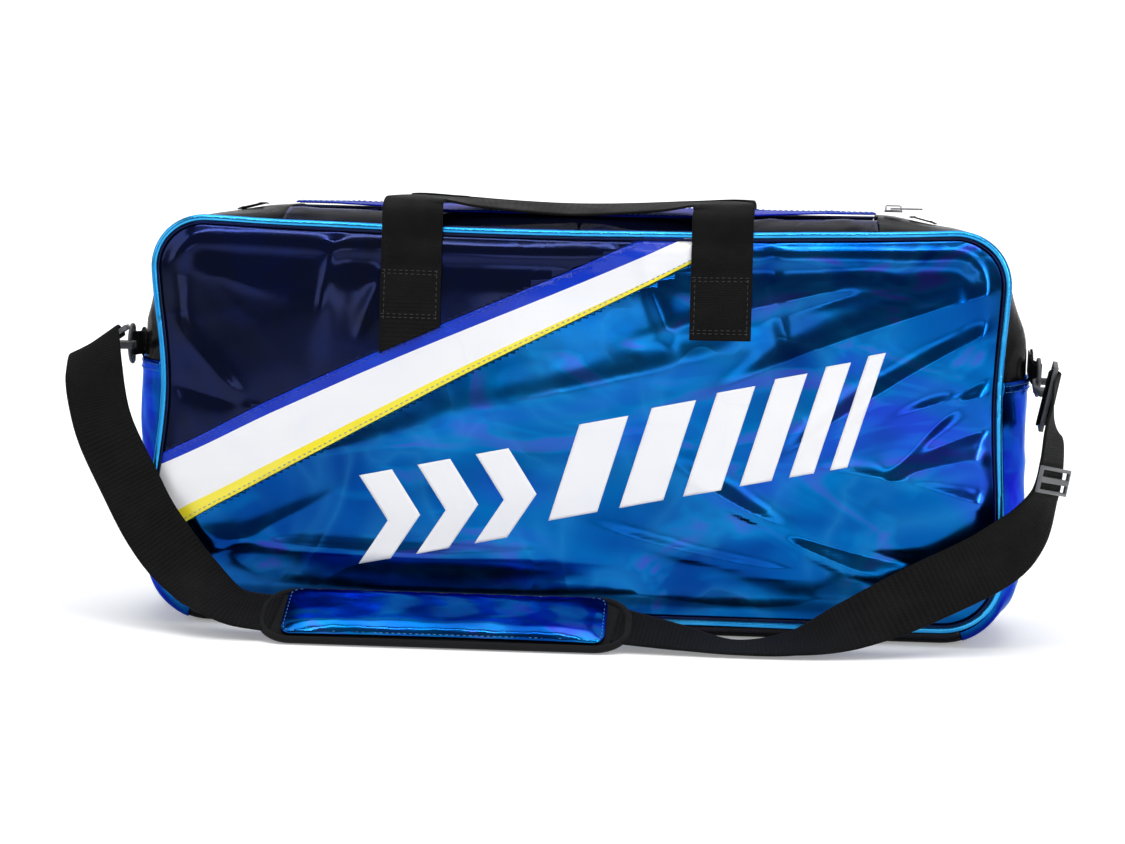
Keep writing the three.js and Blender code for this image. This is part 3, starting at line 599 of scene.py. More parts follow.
def webbingFinish(name, color, light, width=0.05):
    finish, shader, body = newFinish(name, {"Base Color": color, "Roughness": 0.78, "Sheen Weight": 0.03,
                                            "Sheen Roughness": 0.4, "Specular IOR Level": 0.15})
    rib = useGroup(shader, ribs, {"Vector": flatPlace(shader), "Width": width})
    dust = shader.noise(objectPlace(shader), 38.0, 4.0)
    # painted shade: the rib crests are lighter than the grooves, scaled by the random dust
    weaveShadeAndDrift = shader.math("MULTIPLY", rib[1], shader.span(dust, 0.3, 0.7, 0.6, 1.0))
    shader.feed(body.inputs["Base Color"], shader.blendColor(weaveShadeAndDrift, color, light))
    shader.feed(body.inputs["Roughness"], shader.span(dust, 0.3, 0.7, 0.7, 0.9))
    shader.feed(body.inputs["Normal"], shader.bump(rib[0], 0.7, 0.0006))
    return finish


def clothFinish(name, color, light, across, along, roughness=0.85):
    finish, shader, body = newFinish(name, {"Base Color": color, "Roughness": roughness, "Sheen Weight": 0.03,
                                            "Specular IOR Level": 0.15})
    cloth = useGroup(shader, weave, {"Vector": flatPlace(shader), "Across": across, "Along": along})
    drift = shader.noise(objectPlace(shader), 16.0, 4.0)
    # painted shade: the raised threads of the weave are lighter than its low places, scaled by the random
    # drift
    weaveShadeAndDrift = shader.math("MULTIPLY", cloth[0], shader.span(drift, 0.3, 0.7, 0.55, 1.0))
    shader.feed(body.inputs["Base Color"], shader.blendColor(weaveShadeAndDrift, color, light))
    shader.feed(body.inputs["Roughness"], shader.span(drift, 0.3, 0.7, roughness - 0.06, roughness + 0.05))
    shader.feed(body.inputs["Normal"], shader.bump(cloth[0], 0.6, 0.0004))
    return finish


def mouldedFinish(name, color, worn, roughness=0.42, metallic=0.0, size=1400.0):
    look = {"Base Color": color, "Roughness": roughness, "Metallic": metallic}
    finish, shader, body = newFinish(name, look)
    place = objectPlace(shader)
    skin = useGroup(shader, grain, {"Vector": place, "Size": size, "Scuffs": 60.0})
    edge = shader.add("NewGeometry").outputs["Pointiness"]
    scuffs = shader.math("MULTIPLY", skin[1], 0.3)
    rub = shader.math("ADD", shader.span(edge, 0.52, 0.6, 0, 0.7), scuffs, clamp=True)
    shader.feed(body.inputs["Base Color"], shader.blendColor(rub, color, worn))
    rough = shader.math("MULTIPLY", skin[1], 0.18)
    shader.feed(body.inputs["Roughness"], shader.math("ADD", rough, roughness))
    shader.feed(body.inputs["Normal"], shader.bump(skin[0], 0.15, 0.0003))
    return finish


def threadFinish(name, color):
    finish, shader, body = newFinish(name, {"Base Color": color, "Roughness": 0.6, "Sheen Weight": 0.2})
    twist = shader.add("TexWave", {"Vector": objectPlace(shader), "Scale": 900.0, "Distortion": 1.0})
    # painted shade: the twist's grooves are darker than the tops of its plies
    grooveShade = tuple(c * 0.55 for c in color)
    shader.feed(body.inputs["Base Color"], shader.blendColor(twist.outputs["Fac"], (*grooveShade, 1), (*color, 1)))
    shader.feed(body.inputs["Normal"], shader.bump(twist.outputs["Fac"], 0.4, 0.0002))
    return finish


blueSheet = metallicSheet("blueSheet", blueTones, {})
endSheet = metallicSheet("endSheet", blueTones, {"Roughness": 0.24})
navySheet = glossSheet("navySheet", (0.010, 0.013, 0.034, 1), (0.007, 0.015, 0.085, 1),
                       {"Roughness": 0.12, "Coat Weight": 0.05, "Metallic": 0.85, "Specular IOR Level": 0.2,
                        "Specular Tint": (0.06, 0.08, 0.28)}, 0.05)
blackSheet = glossSheet("blackSheet", (0.016, 0.015, 0.018, 1), (0.020, 0.020, 0.032, 1),
                        {"Roughness": 0.26, "Coat Weight": 0.03, "Metallic": 0.85, "Specular IOR Level": 0.1,
                         "Specular Tint": (0.07, 0.07, 0.08)}, 0.12)
whitePrint = glossSheet("whitePrint", (0.80, 0.80, 0.82, 1), (0.74, 0.76, 0.82, 1), {"Roughness": 0.28}, 0.12)
yellowPrint = glossSheet("yellowPrint", (0.86, 0.74, 0.03, 1), (0.80, 0.66, 0.02, 1),
                         {"Roughness": 0.28}, 0.12)
royalPrint = glossSheet("royalPrint", (0.002, 0.022, 0.40, 1), (0.004, 0.05, 0.55, 1),
                        {"Roughness": 0.25, "Coat Weight": 0.1, "Specular IOR Level": 0.25}, 0.06)
royalSheet = glossSheet("royalSheet", (0.004, 0.008, 0.30, 1), (0.01, 0.03, 0.55, 1),
                        {"Roughness": 0.36, "Coat Weight": 0.0, "Metallic": 0.5, "Specular IOR Level": 0.1,
                         "Specular Tint": (0.05, 0.08, 0.6)}, 0.15)
pipingSheet = glossSheet("pipingSheet", (0.02, 0.30, 0.72, 1), (0.06, 0.48, 0.90, 1),
                         {"Roughness": 0.16, "Metallic": 0.85, "Coat Weight": 0.05,
                          "Specular Tint": (0.1, 0.5, 0.9)})
blackWebbing = webbingFinish("blackWebbing", (0.0006, 0.0006, 0.0008, 1), (0.0045, 0.0043, 0.0047, 1))
tabWebbing = webbingFinish("tabWebbing", (0.0006, 0.0006, 0.0008, 1), (0.0045, 0.0043, 0.0047, 1), 0.02)
padCloth = clothFinish("padCloth", (0.0025, 0.0025, 0.003, 1), (0.012, 0.012, 0.013, 1), 3600.0, 3600.0)
tapeCloth = clothFinish("tapeCloth", (0.004, 0.006, 0.03, 1), (0.01, 0.016, 0.08, 1), 5200.0, 3600.0)
liningCloth = clothFinish("liningCloth", (0.02, 0.023, 0.03, 1), (0.075, 0.08, 0.095, 1), 2400.0, 2400.0, 0.8)
foamCell = mouldedFinish("foamCell", (0.62, 0.62, 0.58, 1), (0.72, 0.72, 0.68, 1), 0.9, 0.0, 700.0)
boardSkin = mouldedFinish("boardSkin", (0.02, 0.02, 0.022, 1), (0.06, 0.06, 0.065, 1), 0.7, 0.0, 500.0)
coilNylon = mouldedFinish("coilNylon", (0.006, 0.008, 0.03, 1), (0.03, 0.04, 0.12, 1), 0.35)
darkMetal = mouldedFinish("darkMetal", (0.10, 0.10, 0.11, 1), (0.45, 0.45, 0.47, 1), 0.32, 1.0, 2600.0)
greyPlastic = mouldedFinish("greyPlastic", (0.055, 0.056, 0.062, 1), (0.16, 0.165, 0.18, 1), 0.38)
blueThread = threadFinish("blueThread", (0.02, 0.05, 0.35))
blackThread = threadFinish("blackThread", (0.02, 0.02, 0.022))
skyThread = threadFinish("skyThread", (0.05, 0.25, 0.55))
print("finishes ready")

# the front panel: one stuffed and creased surface that every front piece lies on

puff = {
    "pillow": 0.011,  # how far the middle stands out
    "rimWidth": 0.028,
    "rollHeight": 0.0028,  # the rolled edge beside the piping
    "rollPlace": 0.013,
    "ripple": 0.0011,
}

# creases of the front panel in millimetres: from x, z to x, z, half width, height
frontFolds = [
    (352, 302, 120, 214, 17, 5.2),
    (344, 322, 60, 262, 13, 3.0),
    (352, 272, 160, 150, 15, 4.2),
    (352, 240, 236, 120, 11, -3.0),
    (330, 318, 170, 280, 9, -2.4),
    (352, 212, 262, 190, 9, 2.8),
    (352, 186, 280, 158, 8, -2.4),
    (352, 160, 250, 138, 10, 2.8),
    (352, 118, 190, 150, 12, 2.4),
    (90, 132, 300, 26, 15, 4.8),
    (130, 96, 330, 60, 11, -3.0),
    (20, 84, 250, 44, 12, 2.6),
    (-300, 66, 20, 62, 13, 3.0),
    (-200, 40, 100, 52, 10, -2.2),
    (-345, 40, -180, 116, 12, 2.4),
    (-340, 116, -90, 176, 18, 2.4),
    (-200, 330, -214, 226, 10, 3.6),
    (-146, 330, -180, 250, 9, -2.6),
    (-352, 262, -250, 160, 14, 2.6),
    (-352, 200, -262, 184, 10, -2.4),
    (-340, 312, -240, 276, 11, 2.0),
    (50, 330, 84, 236, 11, 2.4),
    (156, 330, 172, 236, 10, -2.0),
    (-100, 176, 160, 246, 24, 2.6),
]


def edgeDistance(x, z):  # inward from the panel's rounded outline
    qx = abs(x) - (bag["halfLength"] - bag["cornerRadius"])
    qz = abs(z - bag["middleZ"]) - (bag["halfHeight"] - bag["cornerRadius"])
    outside = math.hypot(max(qx, 0), max(qz, 0)) + min(max(qx, qz), 0)
    return bag["cornerRadius"] - outside


def foldHeight(x, z, folds):
    total = 0.0
    for x0, z0, x1, z1, half, height in folds:
        ax, az = x1 - x0, z1 - z0
        run = ax * ax + az * az
        px, pz = x * 1000 - x0, z * 1000 - z0
        t = (px * ax + pz * az) / run
        if not -0.15 < t < 1.15:
            continue
        away = (px * az - pz * ax) / math.sqrt(run)
        bend = 0.12 * math.sqrt(run) * (t - 0.5) ** 2  # creases curve a little
        ends = smooth(t, -0.15, 0.2) * (1 - smooth(t, 0.55, 1.15))
        crest = 1 / (1 + ((away + bend) / (half * 0.7)) ** 2) ** 1.5
        total += height * 0.001 * ends * crest
    return total


def rippleAt(x, z, seed):
    slow = noise.noise(Vector((x * 7 + z * 4, z * 12 - x * 3, seed)))
    quick = noise.noise(Vector((x * 22 + z * 9, z * 34 - x * 10, seed + 4)))
    return puff["ripple"] * (slow * 1.6 + quick * 0.22)


def frontStand(x, z):
    d = max(0.0, edgeDistance(x, z) - bag["pipingRadius"])
    stand = puff["pillow"] * (1 - math.exp(-d / puff["rimWidth"]))
    topOnly = smooth(z, 0.2, 0.3)
    stand += puff["rollHeight"] * bell(d, puff["rollPlace"], 0.008) * mix(0.4, 1.0, topOnly)
    stand -= 0.6 * puff["rollHeight"] * bell(d, puff["rollPlace"] + 0.016, 0.008) * topOnly
    free = smooth(d, 0.0, 0.02)
    return stand + free * (foldHeight(x, z, frontFolds) + rippleAt(x, z, 0.0))


def frontFace(x, z, lift=0.0):
    return settled(x, -(bag["face"] + frontStand(x, z) + lift), z)


def backStand(x, z):
    d = max(0.0, edgeDistance(x, z) - bag["pipingRadius"])
    slow = noise.noise(Vector((x * 5, z * 7, 9.0)))
    folds = foldHeight(-x, z, frontFolds[:16])
    return puff["pillow"] * 0.8 * (1 - math.exp(-d / 0.03)) + smooth(d, 0, 0.02) * (
        folds * 0.8 + 0.003 * slow + rippleAt(x, z, 12.0))


def panelRows(inset, gap):  # (height, half width) from the foot to the top of the rounded outline
    r = bag["cornerRadius"] - inset
    hh, hl = bag["halfHeight"] - inset, bag["halfLength"] - inset
    arc = [(-(hh - r) - r * math.cos(a), hl - r + r * math.sin(a))
           for a in [math.pi / 2 * k / 9 for k in range(9)]]
    count = math.ceil(2 * (hh - r) / gap)
    straight = [(mix(-(hh - r), hh - r, k / count), hl) for k in range(count + 1)]
    mirrored = [(-z, w) for z, w in reversed(arc)]
    return [(z + bag["middleZ"], w) for z, w in arc + straight + mirrored]


def panelForm(inset, gap, across):
    rows = panelRows(inset, gap)

    def place(u, v):
        z, half = rows[round(v * (len(rows) - 1))]
        return Vector((mix(-half, half, u), 0, z))

    return gridForm(across, len(rows) - 1, place, 2 * bag["halfLength"], 2 * bag["halfHeight"])


bandLines = {  # height at the middle and rise per metre of x, of each edge down the band
    "royalTop": (0.311, 0.485),
    "whiteTop": (0.2964, 0.471),
    "yellowTop": (0.270, 0.532),
    "yellowFoot": (0.265, 0.555),
}


def cutAlong(bm, line, clearAbove=False, clearBelow=False):
    height, slope = bandLines[line]
    bmesh.ops.bisect_plane(bm, geom=bm.verts[:] + bm.edges[:] + bm.faces[:], dist=1e-7,
                           plane_co=(0, 0, height), plane_no=(-slope, 0, 1),
                           clear_outer=clearAbove, clear_inner=clearBelow)


def lineHeight(line, x):
    height, slope = bandLines[line]
    return height + slope * x


def frontPiece(name, above, below, finishes, hides, slot, lift=0.0, stripes=()):
    bm = panelForm(bag["pipingRadius"] * 0.4, 0.003, 250)
    if above:
        cutAlong(bm, above, clearBelow=True)
    if below:
        cutAlong(bm, below, clearAbove=True)
    for line in stripes:
        cutAlong(bm, line)
    for face in bm.faces:
        middle = face.calc_center_median()
        face.material_index = sum(middle.z < lineHeight(line, middle.x) for line in stripes)
    for vert in bm.verts:
        vert.co = frontFace(vert.co.x, vert.co.z, lift)
    thicken(bm, bag["sheetWall"], lambda at: Vector((0, -1, 0)))
    return makePiece(name, bm, finishes, "bag", hides, slot)


frontPiece("frontNavyPanel", "royalTop", None, navySheet, ["front_panel_navy"], "navy_sheet")
frontPiece("frontBluePanel", None, "yellowFoot", blueSheet, ["front_panel_blue"], "blue_sheet")
frontPiece("frontBand", "yellowFoot", "royalTop", [royalPrint, whitePrint, yellowPrint],
           ["front_panel_band"], "printed_band", 0.0006, ["whiteTop", "yellowTop"])


def surfaceRow(place, stops):  # points on a surface and its normals there, for stitches
    points = [place(*stop) for stop in stops]
    normals = []
    for stop, point in zip(stops, points):
        one = place(stop[0] + 0.001, stop[1]) - point
        two = place(stop[0], stop[1] + 0.001) - point
        normals.append(one.cross(two).normalized())
    return points, normals


def stitchPiece(name, rows, finish, body="bag", **sizes):
    whole = bmesh.new()
    for points, normals in rows:
        joinInto(whole, stitchForm(points, normals, **sizes))
    return makePiece(name, whole, finish, body)


def alongLine(line, offset, x0, x1):
    count = int((x1 - x0) / 0.006)
    spots = []
    for k in range(count + 1):
        x = mix(x0, x1, k / count)
        spots.append((x, lineHeight(line, x) + offset))
    return [(x, z) for x, z in spots if edgeDistance(x, z) > 0.006]


def frontStitch(x, z):
    return frontFace(x, z, 0.0008)


topRow = surfaceRow(frontStitch, alongLine("royalTop", -0.0035, -0.346, 0.05))
footRow = surfaceRow(frontStitch, alongLine("yellowFoot", 0.003, -0.346, 0.13))
stitchPiece("bandTopStitches", [topRow], blueThread)
stitchPiece("bandFootStitches", [footRow], skyThread)

# printed bars and chevrons on the blue panel, each a leaning patch that follows the creases
motif = {"rise": 0.21, "lean": 0.30, "lift": 0.0004}


def printedPatch(bm, left, foot, width, height, lean, point=0.0):
    def place(u, v):
        x = left + width * u + height * v * lean + point * (1 - abs(2 * v - 1))
        z = foot + height * v + (left + width * u) * motif["rise"]
        return frontFace(x, z, motif["lift"])

    patch = gridForm(max(4, int(width / 0.0025)), 2 * max(2, int(height / 0.005)), place, width, height)
    thicken(patch, 0.0003, lambda at: Vector((0, -1, 0)))
    joinInto(bm, patch)


printed = bmesh.new()
for left, width, height in [(0.004, 0.040, 0.080), (0.062, 0.036, 0.083), (0.114, 0.031, 0.086),
                            (0.160, 0.026, 0.089), (0.200, 0.020, 0.092), (0.233, 0.014, 0.095)]:
    printedPatch(printed, left - 0.022, 0.100, width, height, motif["lean"])
for left in (-0.175, -0.127, -0.079):
    printedPatch(printed, left, 0.092, 0.027, 0.074, 0.0, 0.024)
makePiece("frontMotif", printed, whitePrint, "bag", (), "printed_band")

# the back panel
bm = panelForm(bag["pipingRadius"] * 0.4, 0.004, 176)
for vert in bm.verts:
    x, z = vert.co.x, vert.co.z
    vert.co = settled(x, bag["face"] + backStand(x, z), z)
thicken(bm, bag["sheetWall"], lambda at: Vector((0, 1, 0)))
makePiece("backBluePanel", bm, blueSheet, "bag", ["back_panel"], "blue_sheet")
print("panels made")

# pipings, ends, bottom and the fixed strips of the top


def pipingPoints(y):
    steps = []
    s = 0.0
    for run, count in ((straightLength, 100), (cornerArc, 14), (straightHeight, 44), (cornerArc, 14)) * 2:
        steps += [s + run * k / count for k in range(count)]
        s += run
    points = []
    for s in steps:
        x, z, nx, nz = outlineAt(s)
        wave = 0.0006 * noise.noise(Vector((x * 14, y * 9, z * 14)))
        points.append(settled(x + nx * wave, y, z + nz * wave))
    return points


for side, name in ((-1, "front"), (1, "rear")):
    bm = tubeForm(pipingPoints(side * bag["halfDepth"]), bag["pipingRadius"], 14, True)
    makePiece(name + "Piping", bm, pipingSheet, "bag", [name + "_piping"], "piping")
    # the welt that the piping is sewn into, a low flat cord on each side of it; its dark navy finish is
    # partly painted shade, the dark gap beside the piping
    for place, out, drop in (("Outer", 0.0028, -0.0036), ("Inner", -0.0034, -0.0012)):
        welt = []
        for k in range(0, 420):
            x, z, nx, nz = outlineAt(outlineTotal * k / 420)
            welt.append(settled(x + nx * drop, side * (bag["halfDepth"] + out), z + nz * drop))
        makePiece(name + "WeltShade" + place, tubeForm(welt, 0.0011, 8, True), navySheet, "bag", (), "piping")


def crumple(x, y, z, seed, size):
    broad = noise.noise(Vector((x * 9 + seed, y * 12, z * 14)))
    sharp = 1 - min(1, abs(noise.noise(Vector((x * 14, y * 16 + seed, z * 20)))) * 4)
    byRing = smooth(math.hypot(y, z - bag["seamHeight"]), 0.012, 0.045)
    return size * (broad * 0.8 + sharp * 0.55) * byRing


def gussetForm(s0, s1, y0, y1, gap, offset=0.0, size=0.0, seed=0.0, wall=None, hem=None, narrow=None):
    along = max(2, round(abs(s1 - s0) / gap))
    across = max(2, round(abs(y1 - y0) / gap))

    def place(u, v):
        s, y = mix(s0, s1, v), mix(y0, y1, u)
        if narrow:
            y = mix(y, y1, narrow(s))
        x, z, nx, nz = outlineAt(s)
        out = bulgeAt(nx, nz, y) + offset
        if size:
            calm = smooth(bag["edge"] - abs(y), 0.0, 0.02)
            out += crumple(x, y, z, seed, size) * calm
        if hem:
            out += hem(s)
        return settled(x + nx * out, y, z + nz * out)

    bm = gridForm(across, along, place, abs(y1 - y0), abs(s1 - s0))
    thicken(bm, wall or bag["sheetWall"], lambda at: at - Vector((0, 0, bag["middleZ"])))
    return bm


rightSeam, leftSeam = downRight(bag["seamHeight"]), upLeft(bag["seamHeight"])
mouthRight, mouthLeft = alongTop(bag["mouthHalf"]), alongTop(-bag["mouthHalf"]) + outlineTotal
edge = bag["edge"]
hemHeight = 0.0012


def hemAt(place, width=0.010):
    return lambda s: hemHeight * (1 - smooth(abs(s - place), width * 0.8, width))


crumpleSize = 0.0022
for name, s0, s1, seed in (("right", mouthRight + 0.0005, rightSeam + 0.012, 3.0),
                           ("left", leftSeam - 0.012, mouthLeft - 0.0005, 8.0)):
    upper = gussetForm(s0, s1, -edge, edge, 0.004, -0.0012, crumpleSize, seed)
    makePiece(name + "EndUpper", upper, blackSheet, "bag", [name + "_end_upper"], "black_sheet")
for name, s0, s1, seam, seed in (("right", rightSeam, lowerRight, rightSeam, 3.0),
                                 ("left", lowerLeft, leftSeam, leftSeam, 8.0)):
    lower = gussetForm(s0, s1, -edge, edge, 0.004, 0.0006, crumpleSize, seed, hem=hemAt(seam))
    makePiece(name + "EndLower", lower, endSheet, "bag", [name + "_end_lower"], "blue_sheet")
makePiece("bottomPanel", gussetForm(lowerRight, lowerLeft, -edge, edge, 0.005, 0.0, 0.0),
          blackSheet, "bag", ["bottom_panel"], "black_sheet")


def gussetSpot(offset, size, seed):
    def place(s, y):
        x, z, nx, nz = outlineAt(s)
        out = bulgeAt(nx, nz, y) + offset
        if size:
            out += crumple(x, y, z, seed, size) * smooth(bag["edge"] - abs(y), 0.0, 0.02)
        return settled(x + nx * out, y, z + nz * out)
    return place


def depthRow(s, y0, y1, gap=0.006):
    count = max(2, int(abs(y1 - y0) / gap))
    return [(s, mix(y0, y1, k / count)) for k in range(count + 1)]


for name, seam, way, seed in (("right", rightSeam, 1, 3.0), ("left", leftSeam, -1, 8.0)):
    spot = gussetSpot(0.0006 + hemHeight + 0.0002, crumpleSize, seed)
    rows = [surfaceRow(spot, depthRow(seam + way * d, -edge + 0.004, edge - 0.004)) for d in (0.003, 0.008)]
    outward = [(points, [-n if n.x * way < 0 else n for n in normals]) for points, normals in rows]
    stitchPiece(name + "EndStitches", outward, skyThread)
for name, side in (("front", -1), ("rear", 1)):
    strip = gussetForm(alongTop(-bag["mouthHalf"]), mouthRight, side * bag["crease"], side * edge, 0.004)
    makePiece(name + "TopStrip", strip, navySheet, "bag", (), "navy_sheet")

# inside: padding, linings and the stiffener
inside = {"foamWall": 0.0038, "liningWall": 0.0008, "gap": 0.0004}
for name, side in (("front", -1), ("back", 1)):
    depth = bag["face"] - 0.0022
    for layer, wall, finish, slot in (("Foam", inside["foamWall"], foamCell, "foam"),
                                      ("Lining", inside["liningWall"], liningCloth, "lining")):
        bm = panelForm(0.007, 0.008, 88)
        for vert in bm.verts:
            x, z = vert.co.x, vert.co.z
            vert.co = settled(x, side * depth, z - 0.001)
        thicken(bm, wall, lambda at: Vector((0, side, 0)))
        makePiece(name + layer, bm, finish, "bag", [f"{name}_{layer.lower()}"], slot)
        depth -= wall + inside["gap"]
reach = 0.0852
lowLining = gussetForm(mouthRight + 0.036, mouthLeft - 0.036, -reach, reach, 0.007, -0.0045,
                       wall=inside["liningWall"])
makePiece("gussetLining", lowLining, liningCloth, "bag", ["gusset_lining"], "lining")
frame["nodes"]["base_board"].data.materials.clear()
frame["nodes"]["base_board"].data.materials.append(boardSkin)
print("body made")

# the mouth: flaps, facings, zip tapes and coil

mouthParts = {
    "flapInner": 0.0478,
    "facing": (0.0490, 0.0082),
    "tape": (0.0200, 0.0010),
    "toothPitch": 0.0024,
    "bendStart": 0.245,
    "bendEnd": 0.125,
}


def bendWith(piece, half):
    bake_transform(piece)


def facingTaper(s):  # the facing runs out to a thin strip at each end of the mouth
    return 0.8 * smooth(abs(s - alongTop(0)), 0.09, bag["mouthHalf"])


for name, side in (("front", -1), ("rear", 1)):
    for hand, half in (("Left", -1), ("Right", 1)):
        s0, s1 = sorted((alongTop(0), alongTop(half * bag["mouthHalf"])))

        def standsFor(part):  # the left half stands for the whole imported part
            return [f"{name}_{part}"] if half < 0 else []

        outer, inner = bag["crease"], mouthParts["flapInner"]
        flap = gussetForm(s0, s1, side * outer, side * inner, 0.004, 0.0, 0.0016, 21.0)
        piece = makePiece(f"{name}Flap{hand}", flap, navySheet, None, standsFor("flap"), "navy_sheet")
        bendWith(piece, half)
        outer, inner = mouthParts["facing"]
        facing = gussetForm(s0, s1, side * outer, side * inner, 0.004, 0.0012, 0.0010, 33.0, 0.0012,
                            narrow=facingTaper)
        piece = makePiece(f"{name}Facing{hand}", facing, royalSheet, None, standsFor("facing"), "royal_cloth")
        bendWith(piece, half)
        outer, inner = mouthParts["tape"]
        tape = gussetForm(s0, s1, side * outer, side * inner, 0.003, -0.0022, wall=0.0007)
        piece = makePiece(f"{name}ZipTape{hand}", tape, tapeCloth, None, standsFor("zip_tape"), "zip")
        bendWith(piece, half)
        coil = bmesh.new()
        pitch = mouthParts["toothPitch"]
        start = 0 if side < 0 else pitch / 2
        for k in range(int(bag["mouthHalf"] / pitch)):
            x = half * (start + pitch * k + pitch / 4)
            spot = settled(x, side * 0.0012, bag["topZ"] + bag["crownRise"] - 0.0004)
            size = Matrix.Translation(spot) @ Matrix.Diagonal((0.00062, 0.0021, 0.0011, 1))
            bmesh.ops.create_icosphere(coil, subdivisions=1, radius=1, matrix=size)
        piece = makePiece(f"{name}Coil{hand}", coil, coilNylon, None, (), "zip")
        bendWith(piece, half)
        spot = gussetSpot(0.0014, 0.0010, 33.0)
        rows = []
        outer, inner = mouthParts["facing"]
        for share in (0.07, 0.94):
            places = [mix(s0, s1, (k + 0.5) / 61) for k in range(61)]
            stops = [(s, side * mix(mix(outer, inner, facingTaper(s)), inner, share)) for s in places]
            points, normals = surfaceRow(spot, stops)
            rows.append((points, [n if n.z > 0 else -n for n in normals]))
        piece = stitchPiece(f"{name}FacingStitches{hand}", rows, skyThread, None)
        bendWith(piece, half)

# a sewn tab over each end of the zip
for name, half in (("left", -1), ("right", 1)):
    s = alongTop(half * (bag["mouthHalf"] + 0.040))
    tab = gussetForm(s - 0.011, s + 0.011, -0.016, 0.016, 0.002, 0.0022, hem=hemAt(s, 0.011), wall=0.001)
    makePiece(name + "ZipTab", tab, padCloth, "bag", (), "black_sheet")
    spot = gussetSpot(0.0036, 0, 0)
    rows = [surfaceRow(spot, depthRow(s + d, -0.014, 0.014, 0.003)) for d in (-0.007, 0.007)]
    upward = [(points, [Vector((0, 0, 1))] * len(points)) for points, _ in rows]
    stitchPiece(name + "ZipTabStitches", upward, blackThread)


def softenedCopy(node, name, finish, width, slot, levels=0):
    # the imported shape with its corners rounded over
    bm = bmesh.new()
    bm.from_mesh(frame["nodes"][node].data)
    bmesh.ops.remove_doubles(bm, verts=bm.verts[:], dist=1e-6)
    bmesh.ops.dissolve_limit(bm, angle_limit=math.radians(4), verts=bm.verts[:], edges=bm.edges[:])
    if width:
        sharp = math.radians(30)
        corners = [e for e in bm.edges if len(e.link_faces) == 2 and e.calc_face_angle() > sharp]
        bmesh.ops.bevel(bm, geom=corners, offset=width, segments=2, profile=0.5, affect="EDGES",
                        material=-1, clamp_overlap=True)
    bmesh.ops.triangulate(bm, faces=[f for f in bm.faces if len(f.verts) > 4])
    piece = makePiece(name, bm, finish, frame["nodes"][node]["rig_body"], [node], slot)
    if levels:
        soft = piece.modifiers.new("round", "SUBSURF")
        soft.levels = soft.render_levels = levels
    else:
        piece.data.shade_smooth()
        bpy.context.view_layer.objects.active = piece
        piece.data.set_sharp_from_angle(angle=math.radians(32))
    return piece


softenedCopy("zip_slider", "zipSlider", darkMetal, 0.0004, slot="zip_metal")
softenedCopy("zip_pull", "zipPull", darkMetal, 0.0003, slot="zip_metal")
print("mouth made")

# handles

handle = {
    "width": 0.050,
    "wall": 0.0022,
    "middle": -0.008,
    "spacing": 0.254,
    "foot": bag["topZ"] - 0.090,
    "loopRise": 0.0010,
    "loopReach": 0.038,
    "hump": 0.022,
}


def handleRoute(side):
    face = bag["face"] + 0.0005 + handle["wall"] / 2
    top, half = bag["topZ"], handle["spacing"] / 2
    crown = top + bag["crownRise"] + handle["loopRise"]
    wide = (1, 0, 0)
    foot = handle["foot"]
    leg = [
        ((-half, face, foot), wide),
        ((-half, face, top - 0.06), wide),
        ((-half, face, top - 0.03), wide),
        ((-half, face + 0.0022, top - 0.008), wide),
        ((-half, face + 0.0036, top + 0.004), wide),
        ((-half, face + 0.0022, top + 0.014), wide),
        ((-half, bag["halfDepth"] - 0.007, top + handle["hump"]), wide),
        ((-half + 0.010, bag["halfDepth"] - 0.029, top + handle["hump"]), (0.75, 0.65, 0)),
        ((-half + 0.046, handle["loopReach"] + 0.007, crown + 0.0045), (0.3, 0.95, -0.05)),
    ]
    middle = [((0, handle["loopReach"], crown), (0, 1, -0.09))]
    back = [((-x, y, z), (-w[0], w[1], w[2])) for (x, y, z), w in reversed(leg)]
    if side < 0:
        leg[0] = ((-half, face, foot - 0.026), wide)  # this leg reaches down to the band
    return [((x + handle["middle"], side * y, z), (w[0], side * w[1], w[2]))
            for (x, y, z), w in leg + middle + back]


def onBag(spot, side):  # webbing lies on the stuffed panel up to the piping
    x, y, z = spot
    stand = frontStand if side < 0 else backStand
    reach = (0.0, 0.004, -0.004)
    out = max(stand(x + dx, min(z + dz, bag["topZ"] - 0.006)) for dx in reach for dz in reach) + 0.0003
    held = 1 - smooth(z, bag["topZ"] - 0.022, bag["topZ"] + 0.002)
    return settled(x, y + side * out * held, z)


